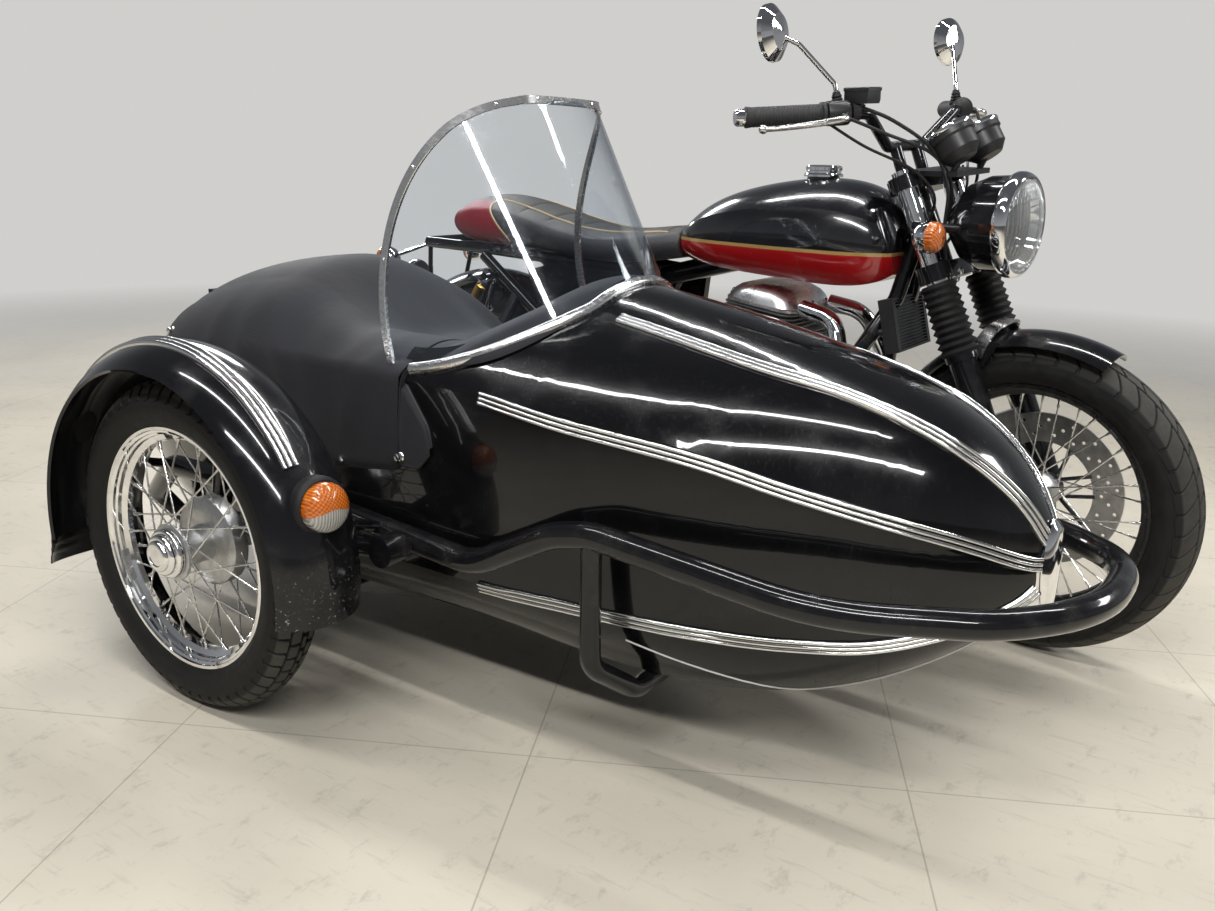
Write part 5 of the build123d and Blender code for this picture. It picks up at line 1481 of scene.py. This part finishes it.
# What turns with the handlebar is built as it stands straight ahead, then turned to where it is parked.
# The parked angle comes from the front wheel's own axle.
steer_foot = Vector(joints["steering_turn"]["pos_m"])
steer_line = Vector(joints["steering_turn"]["axis"]).normalized()
wheel_line = Vector(joints["front_wheel_spin"]["axis"]).normalized()
parked = -acos(max(-1.0, min(1.0, wheel_line.dot(leftward))))
to_foot, turn_about = Matrix.Translation(steer_foot), Matrix.Rotation(parked, 4, steer_line)
turn_in = to_foot @ turn_about @ to_foot.inverted()


def steered_piece(name, solid, material, sharp=40):
    """A piece that turns with the handlebar, from its shape with the bars straight ahead."""
    points = [turn_in @ point for point in solid[0]]
    return piece(name, (points, solid[1]), material, "steering", sharp)


def both_sides(make):
    """The solids that make(side) gives for the right and the left."""
    return joined(make(-1), make(1))


# Headlamp: a chromed bezel round a bulged glass with vertical flutes, over a bright bowl and its bulb.
# The bezel clips over the black shell and holds the glass in it.
lamp_middle = at(1.252, 0, 0.85)
bezel = mm(
    (94.5, 54), (97.5, 55.5), (100, 60), (100, 68), (98.5, 73.5), (95.5, 78.5), (91, 81.5), (88, 81),
    (87.2, 78), (87.2, 72), (90, 58),
)
bezel_ring = ring_solid(lamp_middle, ahead, bezel, 96)
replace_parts(steered_piece("headlamp_bezel", bezel_ring, chrome), "headlamp_lens")
bowl = mm((88, 72), (80, 50), (66, 32), (45, 18), (22, 10), (14, 8))
bowl_back = [(r + 0.0025, a - 0.0025) for r, a in bowl[::-1]]
bulb_profile = mm((14, 0), (13.5, 16), (12, 30), (6, 37), (0.5, 39))
bulb = turned(lamp_middle + ahead * 0.008, ahead, bulb_profile, 24)
bowl_solid = joined(ring_solid(lamp_middle, ahead, bowl + bowl_back, 64), bulb)
steered_piece("headlamp_bowl", bowl_solid, chrome, sharp=50)
lens_glass, spot = finish("fluted_glass", (0.9, 0.92, 0.93), 0.07, 0.4)
y, z = spot.axes()[1:]
flutes = ((y - rear_foot.y) * 620).sine() * 0.5 + (z * 150).sine() * 0.12
facing = spot.node("ShaderNodeLayerWeight", {}, {"Blend": 0.5}, 1)
share = 0.16 + facing**3 * 0.7 + flutes.rise(0.1, 0.6) * 0.14
flutes.raised(0.0022)
see_through = spot.node("ShaderNodeBsdfTransparent", {}, {"Color": (0.95, 0.97, 0.98, 1)})
share.shows(see_through, spot.own_shader())
glass = mm((87.2, 73), (86, 78), (78, 83.5), (60, 89.5), (36, 93.5), (16, 95), (0.5, 95.3))
glass_points, glass_faces = turned(lamp_middle, ahead, glass, 72)
open_glass = (glass_points, [face for face in glass_faces if len(face) == 4])
steered_piece("headlamp_glass", open_glass, lens_glass, 60)

# Indicators: amber domes in chromed shells on short stalks, two clamped at the fork and two on the
# rear loop by the tail.
shell_profile = mm((8, -34), (17, -30), (26, -18), (30, -4), (30.5, 2), (28, 2), (20, -4), (0.5, -6))


def indicator(foot, facing, stalk, thick, count):
    """An indicator's shell on its stalk, and the dome on it."""
    shell = joined(turned(foot, facing, shell_profile, 36), round_bar(stalk, thick, count))
    return shell, dome(foot + facing * 0.002, facing, 0.0285, 0.024, count=40)


shells, domes = [], []
for side, name in ((-1, "right"), (1, "left")):
    stalk = [at(-0.176, side * 0.081, 0.727), at(-0.24, side * 0.16, 0.691)]
    shell, amber_dome = indicator(at(-0.24, side * 0.168, 0.69), -ahead, stalk, 0.006, 12)
    piece(f"rear_shell_{name}", shell, chrome)
    piece(f"rear_dome_{name}", amber_dome, amber, "root")
    stalk = [at(1.212, side * 0.11, 0.842), at(1.216, side * 0.145, 0.84)]
    shell, amber_dome = indicator(at(1.226, side * 0.168, 0.838), ahead, stalk, [0.0085, 0.0075], 14)
    shells.append(shell)
    domes.append(amber_dome)
front_shells = steered_piece("indicator_shells", joined(*shells), chrome)
steered_piece("indicator_domes", joined(*domes), amber)
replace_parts(front_shells, "front_indicators")

# Gauges: two black pods with bright rings pressed over plain black dials, which carry pale marks and a
# needle each.
mark_white, spot = finish("dial_marks", (0.75, 0.75, 0.72), 0.5)
spot.noise(200, 2).tint((0.78, 0.78, 0.75), (0.68, 0.68, 0.65)).into("Base Color")
pod_fore, pod_axis = leaning(-36)
bezel_ring = mm((46.5, -6), (48, -3), (48, 1), (46, 3), (42, 2.2), (41.5, -1), (44, -6))


def pod_top(side, high):
    return at(1.226, side * 0.056, 0.972) + pod_axis * high


def dial_way(angle):
    """The direction on the dial that many degrees from its top, clockwise to the rider."""
    return Vector((0, sin(radians(angle)), 0)) + pod_fore * cos(radians(angle))


def pod_ring(side):
    return ring_solid(pod_top(side, 0.062), pod_axis, bezel_ring, 56)


def pod_marks(side):
    top, marks = pod_top(side, 0.0625), []
    for k in range(25):
        out = dial_way(-125 + 250 * k / 24)
        inner = 0.031 if k % 4 == 0 else 0.035
        marks.append(round_bar([top + out * inner, top + out * 0.0395], 0.0006, 5))
    needle, top = dial_way(-118), top + pod_axis * 0.001
    marks.append(round_bar([top - needle * 0.006, top + needle * 0.03], [0.0011, 0.0004], 6))
    return joined(*marks)


steered_piece("gauge_rings", both_sides(pod_ring), chrome)
steered_piece("gauge_marks", both_sides(pod_marks), mark_white)

# Handlebar ends: ribbed rubber grips with bright weights, cast levers, a plain reservoir and the black
# cables and hoses that loop down between the lamp and the head.
grip_rubber, spot = finish("grip_rubber", (0.018, 0.018, 0.019), 0.62)
(spot.noise(500, 2) * 0.4).raised(0.0004)
spot.noise(60, 3).wears(0.52, 0.2)


def bar_end(side):
    """Where a grip starts, where it ends, and the direction of its run."""
    start, end = at(1.046, side * 0.272, 1.0595), at(0.958, side * 0.39, 1.056)
    return start, end, (end - start).normalized()


def grip_solid(side):
    start, end, run = bar_end(side)
    length = (end - start).length
    profile = mm((11.8, -4), (21, -4), (21, 2), (17.5, 4))
    low, high, ribs = 0.0172, 0.018, 22
    for k in range(ribs):
        along = 0.008 + (length - 0.022) * k / ribs
        profile += [(low, along), (high, along + 0.0014), (high, along + 0.0032), (low, along + 0.0042)]
    profile += [(0.0185, length - 0.008), (0.019, length - 0.002), (0.016, length)]
    return turned(start, run, profile, 28)


weight_profile = mm((14.5, 0), (15.5, 3), (15.5, 14), (12.5, 18), (0.5, 18.5))


def bar_weight(side):
    start, end, run = bar_end(side)
    return turned(end, run, weight_profile, 24)


grips = steered_piece("ribbed_grips", both_sides(grip_solid), grip_rubber, 45)
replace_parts(grips, "bar_grips")
steered_piece("bar_weights", both_sides(bar_weight), chrome, sharp=35)
lever_marks = [
    (1.088, 0.262, 1.054), (1.1, 0.275, 1.052), (1.093, 0.3, 1.048),
    (1.062, 0.34, 1.042), (1.024, 0.378, 1.037), (1.008, 0.394, 1.036),
]
lever_ball = mm((4, 0), (7.5, 3), (8.5, 8), (6.5, 13), (0.5, 15.5))


def lever(side):
    path = curve_through([at(x, side * y, z) for x, y, z in lever_marks], 0.006)
    thick = [0.0068 - 0.0022 * k / len(path) for k in range(len(path))]
    run = (path[-1] - path[-2]).normalized()
    return joined(round_bar(path, thick, 12), turned(path[-1] - run * 0.003, run, lever_ball, 16))


switch_profile = mm((12, -52), (21.5, -50), (22.5, -44), (22.5, -12), (21.5, -8), (12, -6))
clamp_profile = mm((11.8, -72), (16.5, -71), (16.5, -56), (11.8, -55))


def switch_box(side):
    start, end, run = bar_end(side)
    perch = round_bar([at(1.07, side * 0.222, 1.062), at(1.092, side * 0.258, 1.054)], [0.009, 0.007], 12)
    return joined(turned(start, run, switch_profile, 24), turned(start, run, clamp_profile, 20), perch)


def reservoir_ring(rise, grow, count=32):
    """The brake reservoir's rounded outline at that height over its foot, at that scale."""
    ring = []
    for k in range(count):
        fore, aside = cos(2 * pi * k / count), sin(2 * pi * k / count)
        reach = grow / max(abs(fore), abs(aside)) ** 0.72
        ring.append(at(1.088 + fore * reach * 0.0273, -0.203 + aside * reach * 0.0252, 1.076 + rise))
    return ring


reservoir_rows = ((0, 0.94), (0.006, 1.0), (0.022, 1.0), (0.0222, 1.05), (0.0275, 1.05), (0.029, 0.98))
reservoir = lofted([reservoir_ring(rise, grow) for rise, grow in reservoir_rows])
reservoir_foot = round_bar([at(1.075, -0.208, 1.058), at(1.086, -0.204, 1.078)], 0.011, 12)
levers = steered_piece("levers", both_sides(lever), spoke_steel, 45)
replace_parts(levers, "bar_controls")
switch_parts = joined(both_sides(switch_box), reservoir, reservoir_foot)
steered_piece("switch_boxes", switch_parts, satin_black, 35)
cable_black, spot = finish("cable_sheath", (0.012, 0.012, 0.013), 0.4)
spot.noise(200, 2).wears(0.34, 0.15)
cable_runs = [  # radius, then the places it passes from the bar down to the head
    (0.0032, [
        (1.095, -0.262, 1.052), (1.135, -0.19, 1.022), (1.18, -0.1, 0.985), (1.2, -0.05, 0.93),
        (1.19, -0.03, 0.86), (1.155, -0.025, 0.8),
    ]),
    (0.0036, [
        (1.086, -0.215, 1.072), (1.13, -0.16, 1.045), (1.178, -0.09, 0.99), (1.205, -0.07, 0.92),
        (1.2, -0.06, 0.84), (1.21, -0.055, 0.76),
    ]),
    (0.0028, [
        (1.05, -0.262, 1.045), (1.1, -0.205, 1.0), (1.155, -0.12, 0.955), (1.178, -0.07, 0.905),
        (1.16, -0.045, 0.85),
    ]),
    (0.0032, [
        (1.095, 0.262, 1.052), (1.14, 0.19, 1.02), (1.182, 0.1, 0.98), (1.2, 0.06, 0.92),
        (1.18, 0.04, 0.84), (1.15, 0.03, 0.78),
    ]),
    (0.0028, [
        (1.05, 0.262, 1.045), (1.105, 0.2, 1.0), (1.155, 0.11, 0.96), (1.18, 0.06, 0.9),
        (1.165, 0.035, 0.83),
    ]),
]
cables = []
for thick, run in cable_runs:
    cables.append(round_bar(curve_through([at(*mark) for mark in run], 0.012), thick, 9))
steered_piece("cables", joined(*cables), cable_black, 60)

# Fork: a polished brace arches over the tyre behind the mudguard, bright socket screws clamp the lower
# yoke, and ribbed rubber boots close the mirror stems.
brace_marks = [(1.29, -0.068, 0.604), (1.299, -0.064, 0.632), (1.31, -0.045, 0.657), (1.316, 0, 0.665)]
brace_line = [at(*mark) for mark in brace_marks]
brace_path = curve_through(brace_line + mirrored(brace_line[-2::-1], 0), 0.008)
brace_out = [heading(brace_path, k).cross(ahead).normalized() for k in range(len(brace_path))]
brace_section = mm((13, -3), (13, 2), (8, 4), (-8, 4), (-13, 2), (-13, -3))
brace = swept(brace_path, brace_out, brace_section)
steered_piece("fork_brace", brace, worn_aluminium)
socket_screw = mm((6.6, 0), (6.6, 6.2), (5.8, 7), (3.4, 7), (3.4, 4), (0.3, 4))
screw_out = Vector((1, 0, -0.05)).normalized()
screws = []
for side in (-1, 1):
    for z in (0.766, 0.752):
        screws.append(turned(at(1.246 - (0.766 - z) * 0.45, side * 0.079, z), screw_out, socket_screw, 16))
steered_piece("yoke_screws", joined(*screws), chrome, sharp=35)
boot_profile = mm((13, 0), (13.5, 4), (10.5, 7), (12, 10), (9.5, 13), (10.8, 16))
boot_profile += mm((8.5, 19), (9.5, 22), (7.5, 26), (6.5, 30), (0.5, 30.2))
boots = []
for side in (-1, 1):
    stem = Vector((-0.12, side * 0.08, 1))
    boots.append(turned(at(1.0575, side * 0.2365, 1.068), stem, boot_profile, 24))
steered_piece("mirror_boots", joined(*boots), rubber)

# Oil cooler: thin level fins between two end tanks, brazed of aluminium, painted black and bolted to the
# frame in front of the engine.
cooler_fore, cooler_up = leaning(-14)


def cooler_box(aside, up, half_fore, half_aside, half_up):
    """A box that lies along the cooler's own lean, that far from its middle."""
    middle = at(1.106, aside, 0.64) + cooler_up * up
    return box(middle, cooler_fore * half_fore, leftward * half_aside, cooler_up * half_up)


cooler = [cooler_box(0, 0, 0.0085, 0.08, 0.05)]
for side in (-1, 1):
    cooler.append(cooler_box(side * 0.0875, 0, 0.015, 0.0075, 0.055))
    cooler.append(cooler_box(0, side * 0.0525, 0.0148, 0.08, 0.0025))
    cooler.append(round_bar([at(1.062, side * 0.08, 0.625), at(1.1, side * 0.08, 0.625)], 0.008, 14))
cooler += [cooler_box(0, -0.046 + 0.0066 * k, 0.0142, 0.0805, 0.0009) for k in range(15)]
finned_cooler = piece("finned_cooler", joined(*cooler), satin_black, "root", 40)
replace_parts(finned_cooler, "oil_cooler")
